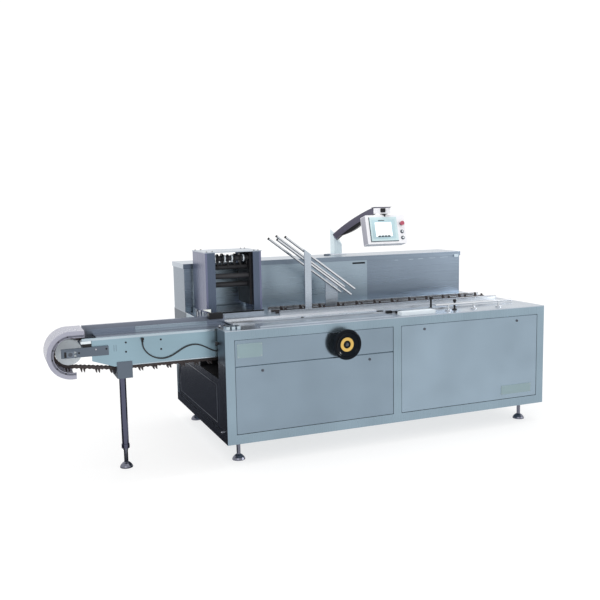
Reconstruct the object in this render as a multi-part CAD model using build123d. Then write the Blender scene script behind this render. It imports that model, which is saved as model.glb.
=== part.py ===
"""Horizontal case packing machine (cartoner) with an infeed lug conveyor.

Every size is in millimetres. The pieces are drawn in the machine's own
setting-out: X = 0 at the left end of the cabinet and grows to the right,
Y = 0 on the front face and grows to the rear, Z = 0 on the floor. On saving,
everything is moved so that the origin is on the floor under the middle of
the whole machine's bounding box.
"""

import os
from math import asin, atan, cos, hypot, radians, sin, tan

from build123d import *

# Cabinet
cabinet_length = 2420.0
cabinet_depth = 1310.0
cabinet_base = 140.0
table_height = 860.0
table_sheet = 5.0
frame_face = 60.0
left_bay = 1113.0
upper_panel_height = 170.0
panel_thickness = 20.0
panel_gap = 3.0
panel_corner = 4.0
rear_panel_count = 3

# Infeed entry in the left side of the cabinet
entry_front = 160.0
entry_rear = 600.0
entry_drop = 325.0
entry_depth = 640.0

# Pressed border on the left side panel
border_front = 213.0
border_rear = 1192.0
border_low = 233.0
border_high = 487.0
border_width = 4.0
border_depth = 1.5

# Quarter-turn locks of the front panels
lock_radius = 9.0
lock_proud = 3.0
lock_slot = 2.5
lock_edge = 35.0
lock_side = 180.0

# Machine feet
foot_inset_x = 109.0
foot_inset_y = 134.0
foot_radius = 42.0
foot_disc = 6.0
foot_dome = 30.0
foot_stem_radius = 13.0
foot_nut_radius = 19.0
foot_nut_height = 24.0

# Handwheel
wheel_x = 800.0
wheel_rise = 5.0
wheel_radius = 100.0
wheel_rim = 11.0
wheel_rim_sides = 12
wheel_face = 72.0
wheel_web = 8.0
wheel_dish = 16.0
wheel_hub_radius = 50.0
wheel_boss_radius = 30.0
wheel_shaft_radius = 12.0
wheel_bearing_radius = 34.0
wheel_bearing_length = 24.0
wheel_running_clearance = 0.05
wheel_gap = 6.0
wheel_shaft_tail = 9.0
shaft_hole_gap = 3.0
ring_inner = 26.0
ring_outer = 46.0
ring_height = 4.0
nut_radius = 10.0
nut_height = 9.0

# Infeed conveyor
conveyor_front = 190.0
conveyor_rear = 400.0
plate_thickness = 6.0
plate_left = -770.0
plate_inside = 120.0
near_plate_drop = 8.0
near_rail_height = 14.0
near_rail_left = -826.0
far_plate_rise = 43.0
far_rail_height = 27.0
far_rail_left = -800.0
plate_drop = 191.0
plate_rise = 45.0
plate_taper = 130.0
plate_flange = 16.0
bed_thickness = 4.0
bed_drop = 2.0
bed_left = -735.0
bed_slot = 7.0
bed_slot_end = 40.0
mount_left = 60.0
mount_length = 40.0
mount_height = 40.0
mount_seat = 26.0

# Chain with lugs, and its wheels
tail_x = -895.0
tail_drop = 93.0
chain_pitch_radius = 90.0
chain_thickness = 22.0
chain_width = 40.0
chain_pitch = 25.4
chain_waist = 4.0
chain_return_drop = 219.0
chain_dip_start = 25.0
chain_dip = 135.0
lug_clearance = 1.0
chain_lift = 275.0
head_x = 420.0
head_shaft_radius = 15.0
lug_pitch = 88.9
lug_start = 15.0
lug_height = 21.0
lug_width = 15.0
lug_spacing = 17.0
lug_root = 2.0
lug_tip = 3.0
wheel_disc_radius = 78.0
wheel_disc_thickness = 12.0
wheel_rim_gap = 0.3
wheel_side_gap = 1.0
tail_shaft_radius = 12.5

# Bearing bars that carry the tail shaft
bar_left = -947.0
bar_right = -672.0
bar_height = 56.0
bar_thickness = 12.0
bar_rise = 7.0
bar_corner = 3.0
bar_slot_length = 70.0
bar_slot_height = 34.0
take_up_length = 44.0
take_up_screw_radius = 4.0

# Clear guard around the conveyor's end
guard_radius = 143.0
guard_inset = 8.0
guard_drop = 6.0
guard_opening_drop = 40.0
guard_sheet = 4.0
guard_inner = 104.0
guard_overhang_top = 78.0
guard_overhang_bottom = 22.0
guard_bracket_width = 18.0
guard_bracket_depth = 8.0

# White and black chain guide at the end of the near plate
guide_left = -832.0
guide_length = 62.0
guide_slant = 12.0
guide_depth = 48.0

# Conveyor leg
bracket_left = -626.0
bracket_width = 92.0
bracket_rise = 26.0
bracket_height = 93.0
bracket_floor = 10.0
bracket_ear = 6.0
bracket_chain_gap = 12.0
leg_radius = 21.0
leg_bottom = 125.0
leg_collar = 26.0
leg_collar_step = 4.0
leg_foot_radius = 40.0
leg_nut_height = 12.0
leg_nut_radius = 16.0

# Sensor block and cable on the conveyor
block_left = 4.0
block_length = 94.0
block_height = 40.0
block_depth = 40.0
block_rise = 67.0
cable_radius = 4.0
cable_stand = 4.0
gland_side = 16.0
gland_height = 14.0
gland_neck_radius = 6.0
gland_neck = 12.0
socket_length = 20.0
socket_height = 32.0
socket_side = 6.0

# The cable's route from the gland to the socket, in X and in height over the table
cable_route = (
    (-467.0, -54.0),
    (-467.0, -78.0),
    (-453.0, -110.0),
    (-425.0, -140.0),
    (-385.0, -161.0),
    (-340.0, -168.0),
    (-296.0, -158.0),
    (-254.0, -136.0),
    (-211.0, -110.0),
    (-166.0, -96.0),
    (-120.0, -97.0),
    (-76.0, -116.0),
    (-36.0, -140.0),
    (4.0, -155.0),
    (44.0, -155.0),
)
cable_bend_share = 0.45

# Rear box along the back of the table
rear_box_front = 970.0
rear_box_right_gap = 80.0
rear_box_rear_gap = 10.0
rear_box_height = 350.0
rear_cover_sheet = 6.0
rear_cover_lip = 34.0
rear_cover_overhang = 6.0

# Leaflet folding unit at the back left of the table
folder_left = 58.0
folder_length = 402.0
folder_front = 600.0
folder_rear_gap = 40.0
folder_height = 450.0
folder_base = 35.0
folder_base_overhang = 10.0
folder_plate = 14.0
folder_left_post = 56.0
folder_right_post = 46.0
folder_post_depth = 30.0
folder_top_sheet = 6.0
folder_top_overhang = 4.0
roller_radius = 19.0
roller_count = 4
roller_pitch = 62.0
roller_drop = 44.0
roller_shaft = 7.0
roller_side_gap = 20.0
roller_front_gap = 14.0
roller_stagger = 42.0

# Carton magazine, sloping down towards the discharge end
magazine_front = 555.0
magazine_spread = 175.0
magazine_slope = 36.5
magazine_top_x = 573.0
magazine_rise = 525.0
magazine_length = 700.0
magazine_gap = 49.0
magazine_stagger = 40.0
rail_side = 15.0
cap_length = 8.0
saddle_thickness = 12.0
upper_saddle_station = 230.0
lower_saddle_inset = 129.0
near_saddle_width = 50.0
far_saddle_width = 100.0

# Carton track on the table
track_left = 560.0
track_right_gap = 40.0
track_side_gap = 4.0
track_rail_height = 26.0
track_rail_width = 14.0
carton_chain_width = 18.0
carton_chain_height = 10.0
carton_lug_height = 26.0
carton_lug_back = 10.0
carton_lug_front = 14.0
carton_lug_count = 12

# Pusher line along the front of the table
pusher_cover_left = 240.0
pusher_cover_right = 1180.0
pusher_front = 24.0
pusher_depth = 110.0
pusher_cover_height = 12.0
pusher_count = 3
pusher_first = 20.0
pusher_pitch = 34.0
pusher_block = 22.0

# White guide bar and the rail on posts at the discharge side
guide_bar_left = 1262.0
guide_bar_length = 265.0
guide_bar_front = 43.0
guide_bar_depth = 60.0
guide_bar_height = 24.0
guide_rail_left = 1560.0
guide_rail_right_gap = 220.0
guide_rail_y = 100.0
guide_rail_rise = 45.0
guide_rail_radius = 8.0
guide_post_radius = 8.0
guide_post_foot = 22.0
guide_post_disc = 8.0
guide_post_count = 3

# Control panel on its swan-neck arm
post_x = 1348.0
post_inset = 45.0
post_width = 66.0
post_depth = 80.0
arm_turn = 47.8
arm_reach = 412.0
arm_height = 50.0
arm_width = 60.0
arm_wall = 4.0
arm_liner_inset = 3.0
arm_liner_thickness = 5.0
arm_start_angle = 40.0
arm_end_angle = 23.0
arm_end_back = 75.0
arm_end_front = 45.0
arm_rise = 325.0
panel_width = 345.0
panel_height = 232.0
panel_depth = 85.0
panel_tilt = 14.5
panel_round = 6.0
panel_clearance = 9.5
pivot_radius = 16.0
pivot_length = 24.0
pivot_gap = 0.5
pivot_disc_radius = 30.0
pivot_disc = 6.0
bezel_width = 246.0
bezel_height = 196.0
bezel_proud = 3.0
screen_margin = 18.0
screen_left = 26.0
button_radius = 11.0
button_proud = 8.0
stop_radius = 17.0
stop_proud = 26.0
stop_cap = 12.0
stop_neck_radius = 10.0
button_column = 34.0
button_rows = (42.0, -22.0, -72.0)

# Distances that follow from the sizes above
table_bottom = table_height - table_sheet
inner_top = table_height - frame_face
mullion_left = frame_face + left_bay
mullion_right = mullion_left + frame_face
panel_low = cabinet_base + frame_face
wheel_z = inner_top - upper_panel_height / 2 + wheel_rise
entry_sill = table_height - entry_drop
rear_box_top = table_height + rear_box_height
rear_box_length = cabinet_length - rear_box_right_gap
rear_box_rear = cabinet_depth - rear_box_rear_gap
folder_top = table_height + folder_height
folder_depth = rear_box_front - folder_rear_gap - folder_front
magazine_top_z = table_height + magazine_rise
track_right = cabinet_length - track_right_gap
guide_rail_right = cabinet_length - guide_rail_right_gap
guide_rail_z = table_height + guide_rail_rise
post_y = cabinet_depth - post_inset
arm_underside = rear_box_top + arm_rise
near_plate_top = table_height - near_plate_drop
far_plate_top = table_height + far_plate_rise
plate_bottom = table_height - plate_drop
bracket_top = plate_bottom + bracket_rise
tail_z = table_height - tail_drop
bar_top = tail_z + bar_rise + bar_height / 2
guard_x = tail_x + guard_inset
guard_z = tail_z - guard_drop
chain_return = table_height - chain_return_drop
chain_y = (conveyor_front + conveyor_rear) / 2
bed_top = near_plate_top - bed_drop
chain_top = bed_top - bed_thickness - lug_clearance - lug_height - chain_thickness / 2
head_radius = (chain_top - chain_return) / 2
head_z = (chain_top + chain_return) / 2
magazine_direction = (cos(radians(magazine_slope)), -sin(radians(magazine_slope)))
magazine_normal = (sin(radians(magazine_slope)), cos(radians(magazine_slope)))
left_reach = guard_x - guard_radius
front_reach = -wheel_face
SETTING_OUT = Pos(
    -(left_reach + cabinet_length) / 2,
    -(front_reach + cabinet_depth) / 2,
    0,
)


def block(x, y, z):
    """A box from (low, high) pairs along each axis."""
    size = Box(x[1] - x[0], y[1] - y[0], z[1] - z[0])
    middle = Pos((x[0] + x[1]) / 2, (y[0] + y[1]) / 2, (z[0] + z[1]) / 2)
    return middle * size


def drum(centre, axis, length, radius):
    """A round bar that starts at centre and runs along axis."""
    start = Plane(origin=centre, z_dir=axis)
    return extrude(start * Circle(radius), amount=length)


def ring(centre, axis, length, outer, inner):
    """A round tube that starts at centre and runs along axis."""
    start = Plane(origin=centre, z_dir=axis)
    return extrude(start * (Circle(outer) - Circle(inner)), amount=length)


def across(outline, front, rear):
    """A profile drawn in X and Z, carried across from front to rear."""
    return extrude(Plane.XZ.offset(-rear) * outline, amount=rear - front)


def outline_of(points):
    """A closed face through the given X and Z points."""
    return make_face(Polyline(*points, close=True))


def foot(x, y, top, radius, nut, nut_height):
    """A levelling foot: bell, stem and lock nut in one turned piece."""
    stem = foot_stem_radius
    profile = make_face(
        Polyline(
            (0, 0),
            (radius, 0),
            (radius, foot_disc),
            (stem + (radius - stem) * 0.84, foot_disc + foot_dome * 0.33),
            (stem + (radius - stem) * 0.48, foot_disc + foot_dome * 0.70),
            (stem + (radius - stem) * 0.14, foot_disc + foot_dome * 0.93),
            (stem, foot_disc + foot_dome),
            (stem, top - nut_height),
            (nut, top - nut_height),
            (nut, top),
            (0, top),
            close=True,
        )
    )
    return Pos(x, y, 0) * revolve(Plane.XZ * profile, Axis.Z)


def front_panel_spans():
    """Name, X span and Z span of each panel opening in the front frame."""
    split = inner_top - upper_panel_height
    right_end = cabinet_length - frame_face
    return {
        "front_upper_panel": ((frame_face, mullion_left), (split, inner_top)),
        "front_lower_panel": ((frame_face, mullion_left), (panel_low, split)),
        "front_right_panel": ((mullion_right, right_end), (panel_low, inner_top)),
    }


def flat_panel(width, height):
    """One panel pan, lying in X and Z with its outer face towards -Y."""
    face = RectangleRounded(width, height, panel_corner)
    pan = extrude(Plane.XZ * face, amount=panel_thickness)
    return chamfer(pan.faces().sort_by(Axis.Y)[0].edges(), 1.0)


def rear_panel_spans():
    """X spans of the plain panels along the back."""
    clear = cabinet_length - frame_face * (rear_panel_count + 1)
    width = clear / rear_panel_count
    spans = []
    for index in range(rear_panel_count):
        start = frame_face + index * (width + frame_face)
        spans.append((start, start + width))
    return spans


def side_panel_span():
    """Y span of the panel openings in the two ends of the cabinet."""
    return (entry_front, cabinet_depth - frame_face)


def build_cabinet():
    """Housing, table sheet, panels, locks and feet."""
    body = block((0, cabinet_length), (0, cabinet_depth), (cabinet_base, table_bottom))
    pieces = {}
    for name, (span_x, span_z) in front_panel_spans().items():
        body -= block(span_x, (-1, panel_thickness), span_z)
        panel = flat_panel(
            span_x[1] - span_x[0] - 2 * panel_gap,
            span_z[1] - span_z[0] - 2 * panel_gap,
        )
        middle = Pos(sum(span_x) / 2, panel_thickness, sum(span_z) / 2)
        pieces[name] = [middle * panel]
    hole = wheel_shaft_radius + shaft_hole_gap
    pieces["front_upper_panel"][0] -= drum(
        (wheel_x, panel_thickness + 1, wheel_z), (0, -1, 0), panel_thickness + 2, hole
    )

    side_y = side_panel_span()
    body -= block((-1, panel_thickness), side_y, (panel_low, inner_top))
    body -= block(
        (cabinet_length - panel_thickness, cabinet_length + 1), side_y, (panel_low, inner_top)
    )
    body -= block((-1, entry_depth), (entry_front, entry_rear), (entry_sill, table_bottom + 1))

    rear_panels = []
    for span_x in rear_panel_spans():
        rear = (cabinet_depth - panel_thickness, cabinet_depth + 1)
        body -= block(span_x, rear, (panel_low, inner_top))
        panel = flat_panel(
            span_x[1] - span_x[0] - 2 * panel_gap, inner_top - panel_low - 2 * panel_gap
        )
        place = Pos(sum(span_x) / 2, cabinet_depth - panel_thickness, (panel_low + inner_top) / 2)
        rear_panels.append(place * Rot(0, 0, 180) * panel)
    pieces["rear_panels"] = rear_panels

    side_width = side_y[1] - side_y[0] - 2 * panel_gap
    side_height = inner_top - panel_low - 2 * panel_gap
    side_middle = (sum(side_y) / 2, (panel_low + inner_top) / 2)
    side = flat_panel(side_width, side_height)
    left = Pos(panel_thickness, side_middle[0], side_middle[1]) * Rot(0, 0, -90) * side
    left -= block(
        (-1, panel_thickness + 1), (0, entry_rear + panel_gap), (entry_sill - panel_gap, table_height)
    )
    left -= pressed_border()
    right_x = cabinet_length - panel_thickness
    right = Pos(right_x, side_middle[0], side_middle[1]) * Rot(0, 0, 90) * side
    pieces["left_side_panel"] = [left]
    pieces["right_side_panel"] = [right]
    pieces["housing"] = [body]

    sheet = block((0, cabinet_length), (0, cabinet_depth), (table_bottom, table_height))
    sheet -= block(
        (-1, plate_inside + panel_gap),
        (conveyor_front - panel_gap, conveyor_rear + panel_gap),
        (table_bottom - 1, table_height + 1),
    )
    pieces["table_top"] = [sheet]
    pieces["panel_locks"] = build_locks()

    feet = []
    for x in (foot_inset_x, cabinet_length - foot_inset_x):
        for y in (foot_inset_y, cabinet_depth - foot_inset_y):
            feet.append(foot(x, y, cabinet_base, foot_radius, foot_nut_radius, foot_nut_height))
    pieces["machine_feet"] = feet
    return pieces


def pressed_border():
    """Shallow groove round the plain middle of the left side panel."""
    depth = (-1, border_depth)
    outside = block(depth, (border_front, border_rear), (border_low, border_high))
    inside = block(
        depth,
        (border_front + border_width, border_rear - border_width),
        (border_low + border_width, border_high - border_width),
    )
    return outside - inside


def build_locks():
    """Quarter-turn locks along the top edge of the lift-off panels."""
    spans = front_panel_spans()
    locks = []
    for name in ("front_lower_panel", "front_right_panel"):
        span_x, span_z = spans[name]
        for x in (span_x[0] + lock_side, span_x[1] - lock_side):
            centre = (x, 0, span_z[1] - lock_edge)
            lock = drum(centre, (0, -1, 0), lock_proud, lock_radius)
            lock -= Pos(x, -lock_proud, centre[2]) * Box(lock_radius * 1.3, lock_proud, lock_slot)
            locks.append(lock)
    return locks


def build_handwheel():
    """Handwheel with its yellow ring, shaft and fixed bearing."""
    rim_centre = wheel_radius - wheel_rim
    rim_y = -(wheel_face - wheel_rim)
    hub_front = -(wheel_face - wheel_dish)
    hub_rear = -(wheel_bearing_length + wheel_gap)
    bore = wheel_shaft_radius
    profile = make_face(
        Polyline(
            (bore, -hub_front),
            (wheel_hub_radius, -hub_front),
            (rim_centre, -rim_y),
            (rim_centre, -rim_y - wheel_web),
            (wheel_hub_radius, -hub_front - wheel_web),
            (wheel_boss_radius, -hub_front - wheel_web),
            (wheel_boss_radius, -hub_rear),
            (bore, -hub_rear),
            close=True,
        )
    )
    profile += Pos(rim_centre, -rim_y) * RegularPolygon(wheel_rim, wheel_rim_sides)
    turned = revolve(Plane.XZ * profile, Axis.Z)
    at_wheel = Pos(wheel_x, 0, wheel_z) * Rot(90, 0, 0)
    wheel = at_wheel * turned

    face_y = hub_front
    yellow = ring((wheel_x, face_y, wheel_z), (0, -1, 0), ring_height, ring_outer, ring_inner)
    shaft_start = (wheel_x, wheel_shaft_tail, wheel_z)
    shaft = drum(shaft_start, (0, -1, 0), wheel_shaft_tail - face_y, bore)
    nut_face = Plane(origin=(wheel_x, face_y, wheel_z), z_dir=(0, -1, 0))
    shaft += extrude(nut_face * RegularPolygon(nut_radius, 6), amount=nut_height)

    bearing = ring(
        (wheel_x, 0, wheel_z),
        (0, -1, 0),
        wheel_bearing_length,
        wheel_bearing_radius,
        wheel_shaft_radius + wheel_running_clearance,
    )
    return {
        "handwheel": [wheel],
        "handwheel_ring": [yellow],
        "handwheel_shaft": [shaft],
        "wheel_bearing": [bearing],
    }


def chain_path():
    """Centre line of the chain loop, in X and Z."""
    left = tail_x - chain_pitch_radius
    right = head_x + head_radius
    top = tail_z + chain_pitch_radius
    drop = tail_z - chain_return
    rise = atan(drop / chain_lift) - asin(chain_pitch_radius / hypot(chain_lift, drop))
    bottom = chain_return + (chain_lift + chain_pitch_radius) * tan(rise)
    tail_turn = chain_pitch_radius * 0.98
    head_turn = head_radius * 0.98
    bend = chain_pitch_radius
    return FilletPolyline(
        (left, bottom),
        (left, top),
        (tail_x + chain_dip_start, top),
        (tail_x + chain_dip, chain_top),
        (right, chain_top),
        (right, chain_return),
        (tail_x + chain_lift, chain_return),
        radius=[tail_turn, tail_turn, bend, bend, head_turn, head_turn, bend],
        close=True,
    )


def lug_outline():
    """One saw-tooth lug: upright on its trailing side, sloped on its leading side."""
    root = chain_thickness / 2 - lug_root
    tip = chain_thickness / 2 + lug_height
    back = -lug_width / 2
    return ((back, root), (-back, root), (back + lug_tip, tip), (back, tip))


def link_edge(path, side):
    """One edge of the chain: wide at each pin and waisted between the pins."""
    count = round(path.length / chain_pitch)
    points = []
    for index in range(count):
        for along, half in ((-0.22, 0.0), (0.22, 0.0), (0.5, chain_waist)):
            share = ((index + along) / count) % 1.0
            centre = path.position_at(share)
            forward = path.tangent_at(share)
            outward = Vector(-forward.Y, forward.X) * side
            spot = centre + outward * (chain_thickness / 2 - half)
            points.append((spot.X, spot.Y))
    return make_face(Polyline(*points, close=True))


def build_chain():
    """The chain as one closed loop of link shapes, with its lugs in pairs."""
    path = chain_path()
    band = link_edge(path, 1) - link_edge(path, -1)
    lugs = []
    for index in range(int(path.length / lug_pitch)):
        for shift in (-lug_spacing / 2, lug_spacing / 2):
            share = (lug_start + index * lug_pitch + shift) / path.length
            centre = path.position_at(share)
            along = path.tangent_at(share)
            outward = Vector(-along.Y, along.X)
            points = []
            for forward, out in lug_outline():
                spot = centre + along * forward + outward * out
                points.append((spot.X, spot.Y))
            lugs.append(outline_of(points))
    band += lugs
    loop = across(band, chain_y - chain_width / 2, chain_y + chain_width / 2)
    return {"infeed_chain": [loop]}


def plate_outline(top, left_top):
    """Side outline of a conveyor plate, with its raised left end."""
    return outline_of(
        [
            (plate_left, plate_bottom + plate_rise),
            (plate_left + plate_taper, plate_bottom),
            (plate_inside, plate_bottom),
            (plate_inside, top),
            (plate_left, left_top),
        ]
    )


def build_conveyor():
    """Side plates, bed, end wheel, shaft, bars, guard and chain guide."""
    near = across(
        plate_outline(near_plate_top, near_plate_top),
        conveyor_front,
        conveyor_front + plate_thickness,
    )
    near += block(
        (near_rail_left, plate_inside),
        (conveyor_front, conveyor_front + plate_flange),
        (near_plate_top - near_rail_height, near_plate_top),
    )
    far = across(
        plate_outline(far_plate_top, far_plate_top),
        conveyor_rear - plate_thickness,
        conveyor_rear,
    )
    far += block(
        (far_rail_left, plate_inside),
        (conveyor_rear - plate_thickness, conveyor_rear + plate_flange),
        (far_plate_top - far_rail_height, far_plate_top),
    )
    bed = block(
        (bed_left, plate_inside),
        (conveyor_front + plate_flange, conveyor_rear - plate_thickness),
        (bed_top - bed_thickness, bed_top),
    )
    for side in (-1, 1):
        slot_y = chain_y + side * chain_width / 3
        bed -= block(
            (bed_left - 1, plate_inside - bed_slot_end),
            (slot_y - bed_slot / 2, slot_y + bed_slot / 2),
            (bed_top - bed_thickness - 1, bed_top + 1),
        )
    mounts = []
    for span in (
        (entry_front, conveyor_front + mount_seat),
        (conveyor_rear - mount_seat, entry_rear),
    ):
        mounts.append(
            block((mount_left, mount_left + mount_length), span, (plate_bottom - mount_height, plate_bottom))
        )
    pieces = {
        "conveyor_mounts": mounts,
        "conveyor_near_plate": [near],
        "conveyor_far_plate": [far],
        "conveyor_bed": [bed],
    }
    pieces.update(build_tail())
    return pieces


def build_tail():
    """Tail wheel, its shaft, the bars that carry it and the clear guard."""
    half_chain = chain_width / 2
    rim = chain_pitch_radius - chain_thickness / 2 - wheel_rim_gap
    rim_front = chain_y - half_chain + wheel_side_gap
    rim_width = chain_width - 2 * wheel_side_gap
    front_face = chain_y - half_chain - wheel_disc_thickness
    width = chain_width + 2 * wheel_disc_thickness
    core = drum((tail_x, front_face, tail_z), (0, 1, 0), width, wheel_disc_radius)
    core += drum((tail_x, rim_front, tail_z), (0, 1, 0), rim_width, rim)
    core -= drum((tail_x, front_face - 1, tail_z), (0, 1, 0), width + 2, tail_shaft_radius)

    bar_front = conveyor_front - bar_thickness
    bar_rear = conveyor_rear
    bars = []
    blocks = []
    for low in (bar_front, bar_rear):
        face = Pos((bar_left + bar_right) / 2, tail_z + bar_rise) * RectangleRounded(
            bar_right - bar_left, bar_height, bar_corner
        )
        face -= Pos(tail_x, tail_z) * Rectangle(bar_slot_length, bar_slot_height)
        bars.append(across(face, low, low + bar_thickness))
        blocks.append(build_take_up(low))
    shaft = drum(
        (tail_x, bar_front, tail_z), (0, 1, 0), bar_rear + bar_thickness - bar_front, tail_shaft_radius
    )
    head_rim = head_radius - chain_thickness / 2 - wheel_rim_gap
    head = ring((head_x, rim_front, head_z), (0, 1, 0), rim_width, head_rim, head_shaft_radius)
    head_shaft = drum(
        (head_x, entry_front, head_z), (0, 1, 0), entry_rear - entry_front, head_shaft_radius
    )
    return {
        "tail_wheel": [core],
        "head_wheel": [head],
        "head_shaft": [head_shaft],
        "tail_shaft": [shaft],
        "bearing_bars": bars,
        "take_up_blocks": blocks,
        "end_guard": [build_guard()],
        "guard_brackets": [build_guard_bracket()],
        "chain_guide": [build_chain_guide()],
    }


def build_take_up(front):
    """Block that holds the tail shaft in a bar's slot, with its tension screw."""
    face = Rectangle(take_up_length, bar_slot_height) - Circle(tail_shaft_radius)
    held = across(Pos(tail_x, tail_z) * face, front, front + bar_thickness)
    screw_start = (tail_x + take_up_length / 2, front + bar_thickness / 2, tail_z)
    held += drum(screw_start, (1, 0, 0), (bar_slot_length - take_up_length) / 2, take_up_screw_radius)
    return held


def build_guard():
    """Clear guard: two C-shaped cheeks joined by a bent skin."""
    centre = Pos(guard_x, guard_z)
    outer = centre * Circle(guard_radius)
    outer += outline_of(
        [
            (guard_x, guard_z),
            (guard_x, guard_z + guard_radius),
            (guard_x + guard_overhang_top, guard_z + guard_radius),
            (guard_x + guard_overhang_top, guard_z),
        ]
    )
    shrunk = centre * Circle(guard_radius - guard_sheet)
    shrunk += outline_of(
        [
            (guard_x, guard_z),
            (guard_x, guard_z + guard_radius - guard_sheet),
            (guard_x + guard_overhang_top + 1, guard_z + guard_radius - guard_sheet),
            (guard_x + guard_overhang_top + 1, guard_z),
        ]
    )
    hole = centre * Circle(guard_inner)
    open_side = Pos(
        guard_x + guard_overhang_bottom + guard_radius, guard_z - guard_opening_drop
    ) * Rectangle(2 * guard_radius, 2 * guard_radius)
    beyond = Pos(guard_x + guard_overhang_top + guard_radius, guard_z) * Rectangle(
        2 * guard_radius, 2.2 * guard_radius
    )
    cheek = outer - hole - open_side - beyond
    skin = outer - shrunk - open_side - beyond
    front = conveyor_front - guard_bracket_depth - guard_sheet
    rear = conveyor_rear + guard_bracket_depth + guard_sheet
    cheek_near = across(cheek, front, front + guard_sheet)
    cheek_far = across(cheek, rear - guard_sheet, rear)
    return across(skin, front, rear) + cheek_near + cheek_far


def build_guard_bracket():
    """Block that stands on the far bearing bar and holds the guard's far cheek."""
    right = guard_x + guard_overhang_top
    lap_z = guard_z + (guard_inner + guard_radius) / 2
    return block(
        (right - guard_bracket_width, right),
        (conveyor_rear, conveyor_rear + guard_bracket_depth),
        (bar_top, lap_z),
    )


def build_chain_guide():
    """Guide block on the near bar, under the rail's end and behind the guard's near cheek."""
    high = near_plate_top - near_rail_height
    face = outline_of(
        [
            (guide_left, high),
            (guide_left + guide_length, high),
            (guide_left + guide_length, bar_top),
            (guide_left + guide_slant, bar_top),
        ]
    )
    front = conveyor_front - guard_bracket_depth
    return across(face, front, front + guide_depth)


def build_leg():
    """Bracket, tube, stud and foot of the conveyor's leg."""
    low = bracket_top - bracket_height
    span_x = (bracket_left, bracket_left + bracket_width)
    outer = (conveyor_front - bracket_ear, conveyor_rear + bracket_ear)
    box = block(span_x, outer, (low - bracket_floor, bracket_top))
    box -= block(
        (span_x[0] - 1, span_x[1] + 1), (conveyor_front, conveyor_rear), (plate_bottom, bracket_top + 1)
    )
    box -= block(
        (span_x[0] - 1, span_x[1] + 1),
        (chain_y - chain_width / 2 - bracket_chain_gap, chain_y + chain_width / 2 + bracket_chain_gap),
        (low, bracket_top),
    )
    centre_x = bracket_left + bracket_width / 2
    bottom = low - bracket_floor
    tube = drum((centre_x, chain_y, leg_bottom), (0, 0, 1), bottom - leg_bottom, leg_radius)
    tube += drum((centre_x, chain_y, leg_bottom), (0, 0, 1), leg_collar, leg_radius + leg_collar_step)
    sole = foot(centre_x, chain_y, leg_bottom, leg_foot_radius, leg_nut_radius, leg_nut_height)
    return {"leg_bracket": [box], "conveyor_leg": [tube], "leg_foot": [sole]}


def build_folder():
    """Leaflet folding unit: base, two end plates, posts, top plate and rollers."""
    right = folder_left + folder_length
    rear = folder_front + folder_depth
    under = folder_top - folder_top_sheet
    upright = (table_height + folder_base, under)
    base = block(
        (folder_left - folder_base_overhang, right + folder_base_overhang),
        (folder_front - folder_base_overhang, rear + folder_base_overhang),
        (table_height, upright[0]),
    )
    plates = [
        block((folder_left, folder_left + folder_plate), (folder_front, rear), upright),
        block((right - folder_plate, right), (folder_front, rear), upright),
    ]
    post_span = (folder_front, folder_front + folder_post_depth)
    inner = (folder_left + folder_plate, right - folder_plate)
    posts = [
        block((inner[0], inner[0] + folder_left_post), post_span, upright),
        block((inner[1] - folder_right_post, inner[1]), post_span, upright),
    ]
    top = block(
        (folder_left - folder_top_overhang, right + folder_top_overhang),
        (folder_front - folder_top_overhang, rear + folder_top_overhang),
        (under, folder_top),
    )
    rollers = []
    for index in range(roller_count):
        z = under - roller_drop - index * roller_pitch
        y = post_span[1] + roller_radius + roller_front_gap + (index % 2) * roller_stagger
        length = inner[1] - inner[0] - 2 * roller_side_gap
        roller = drum((inner[0] + roller_side_gap, y, z), (1, 0, 0), length, roller_radius)
        roller += drum((inner[0], y, z), (1, 0, 0), inner[1] - inner[0], roller_shaft)
        rollers.append(roller)
    return {
        "folder_base": [base],
        "folder_end_plates": plates,
        "folder_posts": posts,
        "folder_top_plate": [top],
        "folder_rollers": rollers,
    }


def magazine_point(along, up):
    """X and Z of a point given by its distance along and square to the rails."""
    x = magazine_top_x + along * magazine_direction[0] + up * magazine_normal[0]
    z = magazine_top_z + along * magazine_direction[1] + up * magazine_normal[1]
    return (x, z)


def magazine_bar(start, finish, low, high):
    """Outline of a stretch of sloping bar."""
    return outline_of(
        [
            magazine_point(start, low),
            magazine_point(finish, low),
            magazine_point(finish, high),
            magazine_point(start, high),
        ]
    )


def build_magazine():
    """Four sloping rails with end caps, and the saddles that carry them."""
    rails = []
    caps = []
    for low, start in ((-rail_side, 0.0), (magazine_gap - rail_side, magazine_stagger)):
        for y in (magazine_front, magazine_front + magazine_spread):
            span = (y - rail_side / 2, y + rail_side / 2)
            bar = magazine_bar(start, magazine_length, low, low + rail_side)
            cap = magazine_bar(start - cap_length, start, low, low + rail_side)
            rails.append(across(bar, *span))
            caps.append(across(cap, *span))
    near_face = magazine_front - rail_side / 2
    far_face = magazine_front + magazine_spread + rail_side / 2
    near = saddle_outline(upper_saddle_station, near_saddle_width)
    far = saddle_outline(magazine_length - lower_saddle_inset, far_saddle_width)
    saddles = [
        across(near, near_face - saddle_thickness, near_face),
        across(far, far_face, far_face + saddle_thickness),
    ]
    return {"magazine_rails": rails, "magazine_end_caps": caps, "magazine_saddles": saddles}


def saddle_outline(station, width):
    """Upright plate from the table to the top of the upper rail, cut to its slope."""
    top_x, top_z = magazine_point(station, magazine_gap)
    fall = width / 2 * tan(radians(magazine_slope))
    return outline_of(
        [
            (top_x - width / 2, table_height),
            (top_x + width / 2, table_height),
            (top_x + width / 2, top_z - fall),
            (top_x - width / 2, top_z + fall),
        ]
    )


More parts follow.
